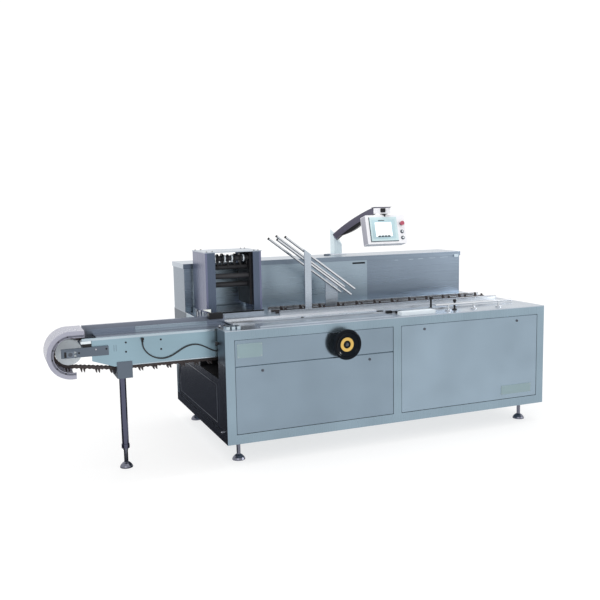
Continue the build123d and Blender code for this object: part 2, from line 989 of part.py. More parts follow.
def build_track():
    """Carton track: two rails and the lugged carton chain between them."""
    outside = rail_side / 2 + saddle_thickness + track_side_gap
    front = magazine_front - outside - track_rail_width
    rear = magazine_front + magazine_spread + outside
    rails = []
    for low in (front, rear):
        rails.append(
            block(
                (track_left, track_right),
                (low, low + track_rail_width),
                (table_height, table_height + track_rail_height),
            )
        )
    chains = []
    middle = (front + rear + track_rail_width) / 2
    pitch = (track_right - track_left) / carton_lug_count
    for side in (-1, 1):
        y = middle + side * magazine_spread / 4
        chain = block(
            (track_left, track_right),
            (y - carton_chain_width / 2, y + carton_chain_width / 2),
            (table_height, table_height + carton_chain_height),
        )
        for index in range(carton_lug_count):
            x = track_left + (index + 0.5) * pitch
            root = table_height + carton_chain_height
            lug = outline_of(
                [
                    (x - carton_lug_back, root - 1),
                    (x + carton_lug_front, root - 1),
                    (x, root + carton_lug_height),
                    (x - carton_lug_back, root + carton_lug_height),
                ]
            )
            chain += across(lug, y - carton_chain_width / 4, y + carton_chain_width / 4)
        chains.append(chain)
    return {"carton_track_rails": rails, "carton_chains": chains}


def build_front_line():
    """Pusher cover and heads along the front, the guide bar and the rail on posts."""
    cover = block(
        (pusher_cover_left, pusher_cover_right),
        (pusher_front, pusher_front + pusher_depth),
        (table_height, table_height + pusher_cover_height),
    )
    heads = []
    for index in range(pusher_count):
        x = pusher_first + index * pusher_pitch
        head = block(
            (x, x + pusher_block),
            (pusher_front, pusher_front + 3 * pusher_block),
            (table_height, table_height + pusher_block),
        )
        heads.append(head)
    rail = drum(
        (guide_rail_left, guide_rail_y, guide_rail_z),
        (1, 0, 0),
        guide_rail_right - guide_rail_left,
        guide_rail_radius,
    )
    pitch = (guide_rail_right - guide_rail_left) / guide_post_count
    for index in range(guide_post_count):
        x = guide_rail_left + (index + 0.5) * pitch
        foot_place = (x, guide_rail_y, table_height)
        rail += drum(foot_place, (0, 0, 1), guide_rail_z - table_height, guide_post_radius)
        rail += drum(foot_place, (0, 0, 1), guide_post_disc, guide_post_foot)
    bar = block(
        (guide_bar_left, guide_bar_left + guide_bar_length),
        (guide_bar_front, guide_bar_front + guide_bar_depth),
        (table_height, table_height + guide_bar_height),
    )
    return {
        "pusher_cover": [cover],
        "pusher_heads": heads,
        "guide_bar": [bar],
        "side_guide": [rail],
    }


def build_rear_box():
    """Long box along the back of the table, with its folded cover."""
    under = rear_box_top - rear_cover_sheet
    body = block((0, rear_box_length), (rear_box_front, rear_box_rear), (table_height, under))
    outer = block(
        (-rear_cover_overhang, rear_box_length + rear_cover_overhang),
        (rear_box_front - rear_cover_overhang, rear_box_rear + rear_cover_overhang),
        (rear_box_top - rear_cover_lip, rear_box_top),
    )
    outer -= block(
        (0, rear_box_length),
        (rear_box_front, rear_box_rear),
        (rear_box_top - rear_cover_lip - 1, under),
    )
    return {"rear_box": [body], "rear_box_cover": [outer]}


def arm_bend():
    """Centre and radius of the arm's bend, in distance from the post and height."""
    level = arm_underside + arm_height / 2
    level_s = arm_reach - arm_end_back
    rise = sin(radians(arm_start_angle)) - sin(radians(arm_end_angle))
    radius = level_s / rise
    centre_s = level_s + radius * sin(radians(arm_end_angle))
    centre_z = level - radius * cos(radians(arm_end_angle))
    return centre_s, centre_z, radius


def arm_stretch(above, below):
    """Outline of the bent stretch between two heights from its centre line."""
    centre_s, centre_z, radius = arm_bend()
    rows = []
    for shift in (above, below):
        row = []
        for share in (0.0, 0.5, 1.0):
            angle = radians(arm_start_angle + share * (arm_end_angle - arm_start_angle))
            row.append((centre_s - (radius + shift) * sin(angle), centre_z + (radius + shift) * cos(angle)))
        rows.append(row)
    top, low = rows
    sides = [
        ThreePointArc(*top),
        Line(top[2], low[2]),
        ThreePointArc(*reversed(low)),
        Line(low[0], top[0]),
    ]
    return make_face(Wire([side.edge() for side in sides]))


def arm_plane(side):
    """Upright plane along the arm, shifted sideways from its middle."""
    turn = radians(-arm_turn)
    along = Vector(cos(turn), sin(turn), 0)
    square = Vector(sin(turn), -cos(turn), 0)
    origin = Vector(post_x, post_y, 0) + square * side
    return Plane(origin=origin, x_dir=along, z_dir=square)


def build_arm():
    """Post on the rear box, the bent arm and the fixed half of the swivel."""
    centre_s, centre_z, radius = arm_bend()
    start = radians(arm_start_angle)
    start_z = centre_z + radius * cos(start)
    turn = radians(arm_turn)
    lead = Vector(cos(start) * cos(turn), -cos(start) * sin(turn), sin(start))
    post = block(
        (post_x - post_width / 2, post_x + post_width / 2),
        (post_y - post_depth / 2, post_y + post_depth / 2),
        (rear_box_top, start_z + post_width),
    )
    mitre = Plane(origin=(post_x, post_y, start_z), z_dir=lead)
    post -= extrude(mitre * Rectangle(4 * post_depth, 4 * post_depth), amount=4 * post_depth)

    half = arm_height / 2
    level = arm_underside + half
    arm = extrude(arm_plane(-arm_width / 2) * arm_stretch(half, -half), amount=arm_width)
    hollow = arm_width - 2 * arm_wall
    arm -= extrude(arm_plane(-hollow / 2) * arm_stretch(half - arm_wall, -arm_height), amount=hollow)
    end_middle = arm_reach + (arm_end_front - arm_end_back) / 2
    end = Pos(end_middle, level) * Rectangle(arm_end_back + arm_end_front, arm_height)
    arm += extrude(arm_plane(-arm_width / 2) * end, amount=arm_width)
    liner_low = arm_liner_inset - half
    liner_face = arm_stretch(liner_low + arm_liner_thickness, liner_low)
    liner = extrude(arm_plane(-hollow / 2) * liner_face, amount=hollow)
    liner -= extrude(arm_plane(-arm_width / 2) * end, amount=arm_width)
    pivot = pivot_place()
    seat = drum((pivot[0], pivot[1], arm_underside), (0, 0, -1), pivot_disc, pivot_disc_radius)
    return {
        "panel_post": [post],
        "panel_arm": [arm],
        "arm_liner": [liner],
        "swivel_seat": [seat],
    }


def pivot_place():
    """X and Y of the panel's swivel."""
    turn = radians(arm_turn)
    return (post_x + arm_reach * cos(turn), post_y - arm_reach * sin(turn))


def build_panel():
    """Control panel: box, bezel with screen, stop button and push buttons."""
    x, y = pivot_place()
    top = arm_underside - panel_clearance
    tilt = radians(panel_tilt)
    box = Box(panel_width, panel_depth, panel_height)
    box = fillet(box.edges().filter_by(Axis.Y), panel_round)
    middle_z = top - panel_height / 2 * cos(tilt) - panel_depth / 2 * sin(tilt)
    place = Pos(x, y, middle_z) * Rot(-panel_tilt, 0, 0)
    front = -panel_depth / 2
    bezel_x = -panel_width / 2 + screen_left + bezel_width / 2
    bezel = Pos(bezel_x, front - bezel_proud / 2, 0) * Box(bezel_width, bezel_proud, bezel_height)
    screen_hole = Pos(bezel_x, front - bezel_proud, 0) * Box(
        bezel_width - 2 * screen_margin, bezel_proud, bezel_height - 2 * screen_margin
    )
    bezel -= screen_hole
    column = panel_width / 2 - button_column
    stop_z = button_rows[0]
    neck = stop_proud - stop_cap
    stop = drum((column, front, stop_z), (0, -1, 0), neck, stop_neck_radius)
    stop += drum((column, front - neck, stop_z), (0, -1, 0), stop_cap, stop_radius)
    buttons = [
        drum((column, front, z), (0, -1, 0), button_proud, button_radius) for z in button_rows[1:]
    ]
    boss_top = arm_underside - pivot_disc - pivot_gap
    boss = drum((x, y, boss_top), (0, 0, -1), pivot_length, pivot_radius)
    cabinet = place * box
    boss -= cabinet
    return {
        "panel_box": [cabinet],
        "panel_screen": [place * bezel],
        "emergency_stop": [place * stop],
        "panel_buttons": [place * item for item in buttons],
        "panel_swivel": [boss],
    }


def build_sensor():
    """Sensor block in front of the far rail, and the cable with its gland and socket."""
    rail_front = conveyor_rear - plate_thickness
    block_top = table_height + block_rise
    sensor = block(
        (block_left, block_left + block_length),
        (rail_front - block_depth, rail_front),
        (block_top - block_height, block_top),
    )
    cable_y = conveyor_front - cable_stand - cable_radius
    mouth_x, mouth_drop = cable_route[0]
    mouth_z = table_height + mouth_drop
    seat = mouth_z + gland_neck
    gland = block(
        (mouth_x - gland_side / 2, mouth_x + gland_side / 2),
        (cable_y - gland_side / 2, conveyor_front),
        (seat, seat + gland_height),
    )
    gland += drum((mouth_x, cable_y, mouth_z), (0, 0, 1), gland_neck, gland_neck_radius)
    end_x, end_drop = cable_route[-1]
    end_z = table_height + end_drop
    socket = block(
        (end_x, end_x + socket_length),
        (entry_front, cable_y + socket_side),
        (end_z - socket_height / 2, end_z + socket_height / 2),
    )
    return {
        "sensor_block": [sensor],
        "cable_gland": [gland],
        "cable_socket": [socket],
        "sensor_cable": [build_cable(cable_y)],
    }


def build_cable(y):
    """The cable as one tube: short runs joined by arcs as large as they allow."""
    points = [Vector(x, y, table_height + drop) for x, drop in cable_route]
    radii = []
    for before, corner, after in zip(points, points[1:], points[2:]):
        into = corner - before
        out = after - corner
        half_turn = radians(into.get_angle(out)) / 2
        radii.append(cable_bend_share * min(into.length, out.length) / tan(half_turn))
    print("cable radii", [round(radius, 1) for radius in radii])
    path = FilletPolyline(*points, radius=radii)
    section = Plane(origin=points[0], z_dir=path.tangent_at(0)) * Circle(cable_radius)
    tube = sweep(section, path=path)
    share = tube.volume / section.area / path.length
    print("cable length", round(path.length, 1), "volume share", round(share, 4))
    return tube


def save(pieces):
    """Write each node's solids, moved to the row's origin."""
    os.makedirs("parts", exist_ok=True)
    for name, solids in pieces.items():
        flat = []
        for piece in solids:
            flat.extend((SETTING_OUT * piece).solids())
        shape = flat[0] if len(flat) == 1 else Compound(flat)
        export_step(shape, f"parts/{name}.step")


def main():
    """Build every sub-assembly and save it."""
    pieces = {}
    for build in (
        build_cabinet,
        build_handwheel,
        build_conveyor,
        build_chain,
        build_leg,
        build_folder,
        build_magazine,
        build_track,
        build_front_line,
        build_rear_box,
        build_arm,
        build_panel,
        build_sensor,
    ):
        pieces.update(build())
    save(pieces)


main()
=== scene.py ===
"""Looks of a horizontal case packing machine with a lugged infeed conveyor.

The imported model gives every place. Sizes here are in metres. Places are
written in the machine's own setting-out: X = 0 at the cabinet's left end,
Y = 0 on its front face and Z = 0 on the floor.
"""

import logging
from collections.abc import Callable, Iterable, Sequence
from dataclasses import dataclass
from enum import Enum
from math import asin, atan, cos, hypot, pi, radians, sin, tan

import bmesh
import bpy
from mathutils import Matrix, Vector


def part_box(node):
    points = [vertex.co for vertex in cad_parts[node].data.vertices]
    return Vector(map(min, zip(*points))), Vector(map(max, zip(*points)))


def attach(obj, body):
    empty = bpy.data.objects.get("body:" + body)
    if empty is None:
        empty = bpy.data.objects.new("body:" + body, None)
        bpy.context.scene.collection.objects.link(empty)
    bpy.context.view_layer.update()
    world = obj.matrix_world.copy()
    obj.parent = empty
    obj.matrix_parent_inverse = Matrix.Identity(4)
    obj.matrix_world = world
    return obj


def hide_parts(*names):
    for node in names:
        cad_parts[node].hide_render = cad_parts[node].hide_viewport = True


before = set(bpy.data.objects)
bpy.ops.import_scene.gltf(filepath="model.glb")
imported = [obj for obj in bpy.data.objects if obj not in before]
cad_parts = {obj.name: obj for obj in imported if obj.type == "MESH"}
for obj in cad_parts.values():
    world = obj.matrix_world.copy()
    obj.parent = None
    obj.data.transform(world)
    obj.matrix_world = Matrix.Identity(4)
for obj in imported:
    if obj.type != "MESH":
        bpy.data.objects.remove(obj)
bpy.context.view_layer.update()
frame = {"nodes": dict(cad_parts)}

log = logging.getLogger("packing_machine")

Point = tuple[float, float]
Place = tuple[float, float, float]
Colour = tuple[float, float, float]

MACHINE = "machine"
WHEEL = "handwheel"
PANEL = "control_panel"

LEFT = Vector((-1.0, 0.0, 0.0))
RIGHT = Vector((1.0, 0.0, 0.0))
FRONT = Vector((0.0, -1.0, 0.0))
UP = Vector((0.0, 0.0, 1.0))

MARK_EDGE = 0.0002
LINE_EDGE = 0.0003
SHEET_EDGE = 0.0004
PLATE_EDGE = 0.0005
CAP_EDGE = 0.0008
BLOCK_EDGE = 0.001
SOFT_EDGE = 0.002


class Grain(Enum):
    """Direction of the brushing on a steel sheet."""

    ALONG_X = (1.5, 260.0, 260.0)
    ALONG_Z = (260.0, 260.0, 1.5)


class Side(Enum):
    """Side of a piece, as the sign of its direction."""

    LOW = -1
    HIGH = 1


class Run(Enum):
    """How a bar runs between its points, as the kind of its curve."""

    STRAIGHT = "POLY"
    CURVED = "NURBS"


class ShaderBench:
    """Builds one node material step by step."""

    dark_mark: float = 0.3
    light_mark: float = 0.7
    fineness: float = 0.55

    def __init__(self, name: str) -> None:
        """Start an empty material with one Principled shader.

        Args:
            name: Name of the material.
        """
        self.material = bpy.data.materials.new(name)
        self.material.use_nodes = True
        self.tree = self.material.node_tree
        self.shader = self.tree.nodes["Principled BSDF"]

    def add(self, kind: str, **sockets: object) -> bpy.types.Node:
        """Add a node and set its input sockets.

        Args:
            kind: Node type.
            **sockets: Input values, with underscores for spaces in their names.

        Returns:
            The new node.
        """
        node = self.tree.nodes.new(kind)
        for key, value in sockets.items():
            node.inputs[key.replace("_", " ")].default_value = value
        return node

    def link(self, source: bpy.types.NodeSocket, target: bpy.types.NodeSocket) -> None:
        """Join an output socket to an input socket."""
        self.tree.links.new(source, target)

    def stretched_noise(self, stretch: Sequence[float], detail: float) -> bpy.types.NodeSocket:
        """Noise in object space, stretched along one axis.

        Args:
            stretch: Scale of the noise along X, Y and Z, per metre.
            detail: Number of finer layers.

        Returns:
            The noise's value socket.
        """
        place = self.add("ShaderNodeTexCoord")
        mapping = self.add("ShaderNodeMapping", Scale=tuple(stretch))
        noise = self.add("ShaderNodeTexNoise", Scale=1.0, Detail=detail, Roughness=self.fineness)
        self.link(place.outputs["Object"], mapping.inputs["Vector"])
        self.link(mapping.outputs["Vector"], noise.inputs["Vector"])
        return noise.outputs["Fac"]

    def spread(self, source: bpy.types.NodeSocket, low: float, high: float) -> bpy.types.NodeSocket:
        """Map a noise value to a range.

        Args:
            source: Noise value from 0 to 1.
            low: Result at the low end.
            high: Result at the high end.

        Returns:
            The mapped socket.
        """
        ranged = self.add("ShaderNodeMapRange", To_Min=low, To_Max=high)
        ranged.inputs["From Min"].default_value = self.dark_mark
        ranged.inputs["From Max"].default_value = self.light_mark
        self.link(source, ranged.inputs["Value"])
        return ranged.outputs["Result"]

    def tint(self, source: bpy.types.NodeSocket, dark: Colour, light: Colour) -> None:
        """Colour the shader between two tones with a noise value.

        Args:
            source: Noise value from 0 to 1.
            dark: Tone at the low end.
            light: Tone at the high end.
        """
        ramp = self.add("ShaderNodeValToRGB")
        first, last = ramp.color_ramp.elements
        first.position = self.dark_mark
        last.position = self.light_mark
        first.color = (*dark, 1.0)
        last.color = (*light, 1.0)
        self.link(source, ramp.inputs["Fac"])
        self.link(ramp.outputs["Color"], self.shader.inputs["Base Color"])

    def bump(self, source: bpy.types.NodeSocket, height: float) -> None:
        """Raise the surface by a noise value.

        Args:
            source: Height map from 0 to 1.
            height: Depth of the relief in metres.
        """
        relief = self.add("ShaderNodeBump", Strength=1.0, Distance=height)
        self.link(source, relief.inputs["Height"])
        self.link(relief.outputs["Normal"], self.shader.inputs["Normal"])


@dataclass(frozen=True)
class Finish:
    """A plain finish: colour, gloss and a faint unevenness."""

    name: str
    colour: Colour
    roughness: float = 0.4
    metallic: float = 0.0
    variation: float = 0.08
    relief: float = 0.00002
    grain_size: float = 90.0
    coat: float = 0.0
    specular: float = 0.5
    gloss_spread: float = 0.05
    gloss_floor: float = 0.03
    fine_detail: float = 3.0
    cloud_scale: float = 2.3
    cloud_detail: float = 2.0

    def stretch(self) -> tuple[float, float, float]:
        """Scale of the unevenness along each axis."""
        return (self.grain_size, self.grain_size, self.grain_size)

    def material(self) -> bpy.types.Material:
        """The finish's material, made once.

        Returns:
            The Blender material.
        """
        made = bpy.data.materials.get(self.name)
        if made is None:
            bench = ShaderBench(self.name)
            self.dress(bench)
            made = bench.material
        return made

    def dress(self, bench: ShaderBench) -> None:
        """Set the shader's sockets and its fine texture.

        Args:
            bench: Material being built.
        """
        sockets = bench.shader.inputs
        sockets["Metallic"].default_value = self.metallic
        sockets["Coat Weight"].default_value = self.coat
        sockets["Specular IOR Level"].default_value = self.specular
        fine = bench.stretched_noise(self.stretch(), self.fine_detail)
        low = max(self.roughness - self.gloss_spread, self.gloss_floor)
        high = self.roughness + self.gloss_spread
        bench.link(bench.spread(fine, low, high), sockets["Roughness"])
        clouds = bench.stretched_noise((self.cloud_scale,) * 3, self.cloud_detail)
        dark = tuple(part * (1.0 - self.variation) for part in self.colour)
        light = tuple(min(part * (1.0 + self.variation), 1.0) for part in self.colour)
        bench.tint(clouds, dark, light)
        bench.bump(fine, self.relief)


@dataclass(frozen=True)
class SteelSheet(Finish):
    """Brushed stainless sheet with its grain along one direction."""

    metallic: float = 0.94
    roughness: float = 0.30
    relief: float = 0.000012
    grain: Grain = Grain.ALONG_X

    def stretch(self) -> tuple[float, float, float]:
        """Scale of the brushing along each axis."""
        return self.grain.value


@dataclass(frozen=True)
class ClearSheet(Finish):
    """Smoked clear plastic sheet."""

    alpha: float = 0.86
    refraction: float = 1.49

    def dress(self, bench: ShaderBench) -> None:
        """Make the plain finish see-through.

        Args:
            bench: Material being built.
        """
        super().dress(bench)
        bench.shader.inputs["Alpha"].default_value = self.alpha
        bench.shader.inputs["IOR"].default_value = self.refraction


@dataclass(frozen=True)
class LitScreen(Finish):
    """Display glass that glows from behind."""

    glow: float = 0.6

    def dress(self, bench: ShaderBench) -> None:
        """Add the glow of the display to the plain finish.

        Args:
            bench: Material being built.
        """
        super().dress(bench)
        bench.shader.inputs["Emission Color"].default_value = (*self.colour, 1.0)
        bench.shader.inputs["Emission Strength"].default_value = self.glow


@dataclass(frozen=True)
class Finishes:
    """Every finish on the machine."""

    panel: Finish = SteelSheet("panel_steel", (0.225, 0.29, 0.35), roughness=0.19)
    panel_light: Finish = SteelSheet("panel_light_steel", (0.27, 0.347, 0.415), roughness=0.19)
    frame: Finish = SteelSheet("frame_steel", (0.25, 0.33, 0.39), grain=Grain.ALONG_Z)
    # Painted shade: a near-black copy of the frame steel for faces turned away from the light, such as
    # the left side panel.
    side: Finish = SteelSheet("side_painted_shade_steel", (0.05, 0.06, 0.085), roughness=0.22, grain=Grain.ALONG_Z)
    table: Finish = SteelSheet("table_steel", (0.42, 0.47, 0.53))
    plate: Finish = SteelSheet("conveyor_plate", (0.27, 0.385, 0.45), roughness=0.33)
    bed: Finish = SteelSheet("bed_steel", (0.26, 0.30, 0.37))
    rail_band: Finish = SteelSheet("rail_band", (0.22, 0.24, 0.29), roughness=0.35)
    bar: Finish = SteelSheet("bearing_bar", (0.12, 0.145, 0.18), roughness=0.42)
    tube: Finish = SteelSheet(
        "leg_tube", (0.09, 0.094, 0.14), roughness=0.13, metallic=0.95, grain=Grain.ALONG_Z
    )
    take_up: Finish = SteelSheet("take_up_steel", (0.16, 0.19, 0.23))
    bright: Finish = SteelSheet("bright_steel", (0.62, 0.64, 0.67), roughness=0.2, metallic=0.9)
    folder: Finish = SteelSheet("folder_satin", (0.095, 0.12, 0.17), grain=Grain.ALONG_Z)
    folder_face: Finish = SteelSheet(
        "folder_side", (0.155, 0.168, 0.255), roughness=0.28, grain=Grain.ALONG_Z
    )
    arm: Finish = SteelSheet("arm_satin", (0.125, 0.12, 0.16), roughness=0.36)
    post: Finish = SteelSheet("post_satin", (0.64, 0.75, 0.80), grain=Grain.ALONG_Z)
    rail_light: Finish = SteelSheet("rail_light", (0.44, 0.52, 0.58), roughness=0.25)
    slide: Finish = SteelSheet("slide_steel", (0.78, 0.81, 0.86), roughness=0.28)
    rear_left: Finish = SteelSheet("rear_left_steel", (0.29, 0.36, 0.42))
    rear_face: Finish = SteelSheet("rear_face_steel", (0.19, 0.235, 0.29))
    lock: Finish = SteelSheet("lock_steel", (0.09, 0.10, 0.12))
    panel_paint: Finish = Finish("panel_paint", (0.84, 0.84, 0.87), roughness=0.35, variation=0.02)
    white: Finish = Finish("white_nylon", (0.70, 0.76, 0.80), roughness=0.42, variation=0.03)
    # Painted shade: a darker copy of the white panel paint for the box's left side.
    panel_side: Finish = Finish("shaded_panel_side", (0.42, 0.415, 0.475), variation=0.03)
    bezel: Finish = Finish("screen_bezel", (0.58, 0.74, 0.77), roughness=0.25, variation=0.12, coat=0.3)
    screen: Finish = LitScreen(
        "screen_glass", (0.44, 0.60, 0.65), roughness=0.12, variation=0.25, glow=0.10
    )
    glow: Finish = LitScreen("screen_glow", (0.92, 0.98, 1.0), roughness=0.12, variation=0.01)
    # Dark marks for the screen's keys, also used as painted shade on the bezel and near the display's
    # top.
    dark_mark: Finish = Finish("screen_mark_and_shade", (0.035, 0.06, 0.08), roughness=0.3)
    red: Finish = Finish("stop_red", (0.42, 0.05, 0.10), roughness=0.25, coat=0.5)
    plum: Finish = Finish("stop_neck", (0.10, 0.07, 0.10))
    black: Finish = Finish(
        "black_plastic", (0.012, 0.012, 0.014), roughness=0.38, variation=0.2, specular=0.25
    )
    wheel: Finish = Finish(
        "wheel_moulding", (0.001, 0.003, 0.006), roughness=0.1, variation=0.1, specular=0.10
    )
    yellow: Finish = Finish("ring_yellow", (0.62, 0.40, 0.09), roughness=0.35, variation=0.05)
    chain: Finish = Finish("oiled_chain", (0.055, 0.045, 0.045), metallic=0.7, variation=0.3)
    cast: Finish = Finish(
        "cast_foot", (0.17, 0.175, 0.215), roughness=0.24, metallic=1.0, grain_size=400.0
    )
    chrome: Finish = Finish(
        "bright_plate", (0.45, 0.46, 0.50), roughness=0.12, metallic=1.0, variation=0.03
    )
    rubber: Finish = Finish("roller_rubber", (0.02, 0.02, 0.024), roughness=0.6, grain_size=700.0)
    bare_plate: Finish = Finish("bare_plate", (0.23, 0.315, 0.34), metallic=0.4)
    gap: Finish = Finish("shadow_gap", (0.01, 0.01, 0.012), roughness=0.8, specular=0.1)
    guard: Finish = ClearSheet(
        "guard_clear", (0.37, 0.375, 0.455), roughness=0.25, variation=0.02, relief=0.000001
    )
    guard_ring: Finish = Finish("guard_seam", (0.10, 0.105, 0.14), roughness=0.3, variation=0.05)
    target: Finish = Finish("target_plate", (0.86, 0.88, 0.82))
    cable: Finish = Finish("cable_sheath", (0.01, 0.01, 0.012), roughness=0.5)
    card: Finish = Finish("card_dark", (0.02, 0.025, 0.04), roughness=0.9)


FINISH = Finishes()


@dataclass(frozen=True)
class SettingOut:
    """The machine's own zero: cabinet's left end, front face and floor."""

    x: float
    y: float

    @classmethod
    def from_cabinet(cls) -> "SettingOut":
        """Read the zero from the cabinet's housing."""
        low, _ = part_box("housing")
        return cls(low[0], low[1])

    def at(self, x: float, y: float, z: float) -> Vector:
        """A point of the setting-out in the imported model's frame."""
        return Vector((self.x + x, self.y + y, z))


ZERO = SettingOut.from_cabinet()


def top_of(node: str) -> float:
    """Height of a node's top above the floor."""
    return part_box(node)[1][2]


def front_of(node: str) -> float:
    """Y of a node's front, in the setting-out."""
    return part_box(node)[0][1] - ZERO.y


def rectangle(corner: Vector, across: Vector, along: Vector) -> list[Vector]:
    """Four corners of a rectangle, from one corner and its two sides."""
    return [corner, corner + across, corner + across + along, corner + along]


def centred_rectangle(middle: Vector, across: Vector, along: Vector) -> list[Vector]:
    """Four corners of a rectangle, from its middle and its two sides."""
    return rectangle(middle - across / 2 - along / 2, across, along)


def disc_profile(radius: float, height: float, sunk: float = 0.001) -> tuple[Point, ...]:
    """Profile of a plain disc or pin, sunk a little into what carries it."""
    return ((0.0, -sunk), (radius, -sunk), (radius, height), (0.0, height))


def ring_profile(bore: float, radius: float, height: float, crown: float = 1.0) -> tuple[Point, ...]:
    """Profile of a ring, with its top drawn in to a share of its radius."""
    return ((bore, 0.0), (radius, 0.0), (radius * crown, height), (bore, height))


class Workshop:
    """Turns outlines and profiles into finished pieces on a body."""

    sharp: float = radians(32)

    @classmethod
    def finish(
        cls, name: str, shape: bmesh.types.BMesh, finish: Finish, body: str, edge: float = 0.0
    ) -> bpy.types.Object:
        """Round a shape's edges and put it on its body.

        Args:
            name: Name of the piece.
            shape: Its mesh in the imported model's frame.
            finish: Its surface.
            body: Body that it moves with.
            edge: Width of the edge rounding, in metres.

        Returns:
            The finished object.
        """
        bmesh.ops.recalc_face_normals(shape, faces=shape.faces)
        if edge > 0.0:
            corners = [line for line in shape.edges if line.calc_face_angle(0.0) > cls.sharp]
            bmesh.ops.bevel(
                shape, geom=corners, offset=edge, segments=2, affect="EDGES", clamp_overlap=True
            )
        mesh = bpy.data.meshes.new(name)
        shape.to_mesh(mesh)
        shape.free()
        mesh.polygons.foreach_set("use_smooth", [True] * len(mesh.polygons))
        mesh.set_sharp_from_angle(angle=cls.sharp)
        mesh.materials.append(finish.material())
        piece = bpy.data.objects.new(name, mesh)
        bpy.context.scene.collection.objects.link(piece)
        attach(piece, body)
        log.info("piece %s on %s", name, body)
        return piece

    @staticmethod
    def slab(low: Vector, high: Vector, into: bmesh.types.BMesh | None = None) -> bmesh.types.BMesh:
        """A block between two corners.

        Args:
            low: Lowest corner.
            high: Highest corner.
            into: Mesh to add it to.

        Returns:
            The mesh that holds the block.
        """
        shape = into or bmesh.new()
        middle = (low + high) / 2
        size = high - low
        matrix = Matrix.Translation(middle) @ Matrix.Diagonal((*size, 1.0))
        bmesh.ops.create_cube(shape, size=1.0, matrix=matrix)
        return shape

    @classmethod
    def plate(
        cls, name: str, low: Place, high: Place, finish: Finish, edge: float = SHEET_EDGE
    ) -> bpy.types.Object:
        """A plate on the machine, between two corners of the setting-out.

        Args:
            name: Name of the piece.
            low: Lowest corner.
            high: Highest corner.
            finish: Its surface.
            edge: Width of the edge rounding, in metres.

        Returns:
            The plate.
        """
        return cls.finish(name, cls.slab(ZERO.at(*low), ZERO.at(*high)), finish, MACHINE, edge)

    @staticmethod
    def prism(
        outline: Sequence[Vector], along: Vector, into: bmesh.types.BMesh | None = None
    ) -> bmesh.types.BMesh:
        """An outline carried along a vector.

        Args:
            outline: Corners of the flat outline.
            along: Direction and length of the carry.
            into: Mesh to add it to.

        Returns:
            The mesh that holds the prism.
        """
        shape = into or bmesh.new()
        base = [shape.verts.new(point) for point in outline]
        top = [shape.verts.new(point + along) for point in outline]
        shape.faces.new(base)
        shape.faces.new(list(reversed(top)))
        count = len(base)
        for index in range(count):
            following = (index + 1) % count
            shape.faces.new((base[index], top[index], top[following], base[following]))
        return shape

    @staticmethod
    def lathe(
        profile: Sequence[Point],
        centre: Vector,
        axis: Vector,
        steps: int,
        into: bmesh.types.BMesh | None = None,
    ) -> bmesh.types.BMesh:
        """A profile of (radius, distance) pairs turned round an axis.

        Args:
            profile: Radius and distance along the axis of each point.
            centre: Where distance is zero.
            axis: Direction of the axis.
            steps: Number of sides.
            into: Mesh to add it to.

        Returns:
            The mesh that holds the turned piece.
        """
        shape = into or bmesh.new()
        axis = axis.normalized()
        first = axis.orthogonal().normalized()
        second = axis.cross(first)
        rows = []
        for radius, distance in profile:
            spot = centre + axis * distance
            if radius == 0.0:
                rows.append([shape.verts.new(spot)])
                continue
            row = []
            for step in range(steps):
                turn = 2 * pi * step / steps
                row.append(shape.verts.new(spot + (first * cos(turn) + second * sin(turn)) * radius))
            rows.append(row)
        pairs = list(zip(rows, rows[1:]))
        if len(rows[0]) > 1 and len(rows[-1]) > 1:
            pairs.append((rows[-1], rows[0]))
        for lower, upper in pairs:
            for step in range(steps):
                following = (step + 1) % steps
                corners = [lower[step % len(lower)], lower[following % len(lower)]]
                corners += [upper[following % len(upper)], upper[step % len(upper)]]
                unique = list(dict.fromkeys(corners))
                if len(unique) > 2:
                    shape.faces.new(unique)
        return shape

    @staticmethod
    def wire(
        name: str, points: Sequence[Vector], radius: float, finish: Finish, run: Run, roundness: int
    ) -> bpy.types.Object:
        """A round bar or a cable on the machine.

        Args:
            name: Name of the piece.
            points: Points of its centre line.
            radius: Radius of the bar.
            finish: Its surface.
            run: How it runs between its points.
            roundness: Fineness of its round section.

        Returns:
            The bar.
        """
        curve = bpy.data.curves.new(name, "CURVE")
        curve.dimensions = "3D"
        curve.bevel_depth = radius
        curve.bevel_resolution = roundness
        curve.resolution_u = 16
        curve.use_fill_caps = True
        spline = curve.splines.new(run.value)
        spline.points.add(len(points) - 1)
        for spot, point in zip(spline.points, points):
            spot.co = (*point, 1.0)
        if run is Run.CURVED:
            spline.order_u = 3
            spline.use_endpoint_u = True
        curve.materials.append(finish.material())
        piece = bpy.data.objects.new(name, curve)
        bpy.context.scene.collection.objects.link(piece)
        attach(piece, MACHINE)
        log.info("piece %s on %s", name, MACHINE)
        return piece


def dress_nodes(finishes: dict[str, Finish]) -> None:
    """Give carried-over nodes their finish.

    Args:
        finishes: Finish of each node.
    """
    for name, finish in finishes.items():
        node = frame["nodes"][name]
        node.data.materials.clear()
        node.data.materials.append(finish.material())
        log.info("node %s in %s", name, finish.name)


@dataclass
class ScrewRow:
    """Round-headed screws with a recess, all facing one way."""

    name: str
    finish: Finish
    radius: float
    height: float
    sunk: float = 0.0004
    recess: float = 0.42
    steps: int = 24

    def build(self, places: Iterable[Vector], facing: Vector) -> bpy.types.Object:
        """Make the screws as one piece.

        Args:
            places: Where each head sits.
            facing: Direction that the heads face.

        Returns:
            The piece with every screw.
        """
        shape = bmesh.new()
        recess = self.radius * self.recess
        profile = (
            (0.0, -self.sunk),
            (self.radius, -self.sunk),
            (self.radius, self.height * 0.45),
            (self.radius * 0.8, self.height * 0.9),
            (recess, self.height),
            (recess * 0.9, self.height * 0.35),
            (0.0, self.height * 0.35),
        )
        for place in places:
            Workshop.lathe(profile, place, facing, self.steps, shape)
        return Workshop.finish(self.name, shape, self.finish, MACHINE)


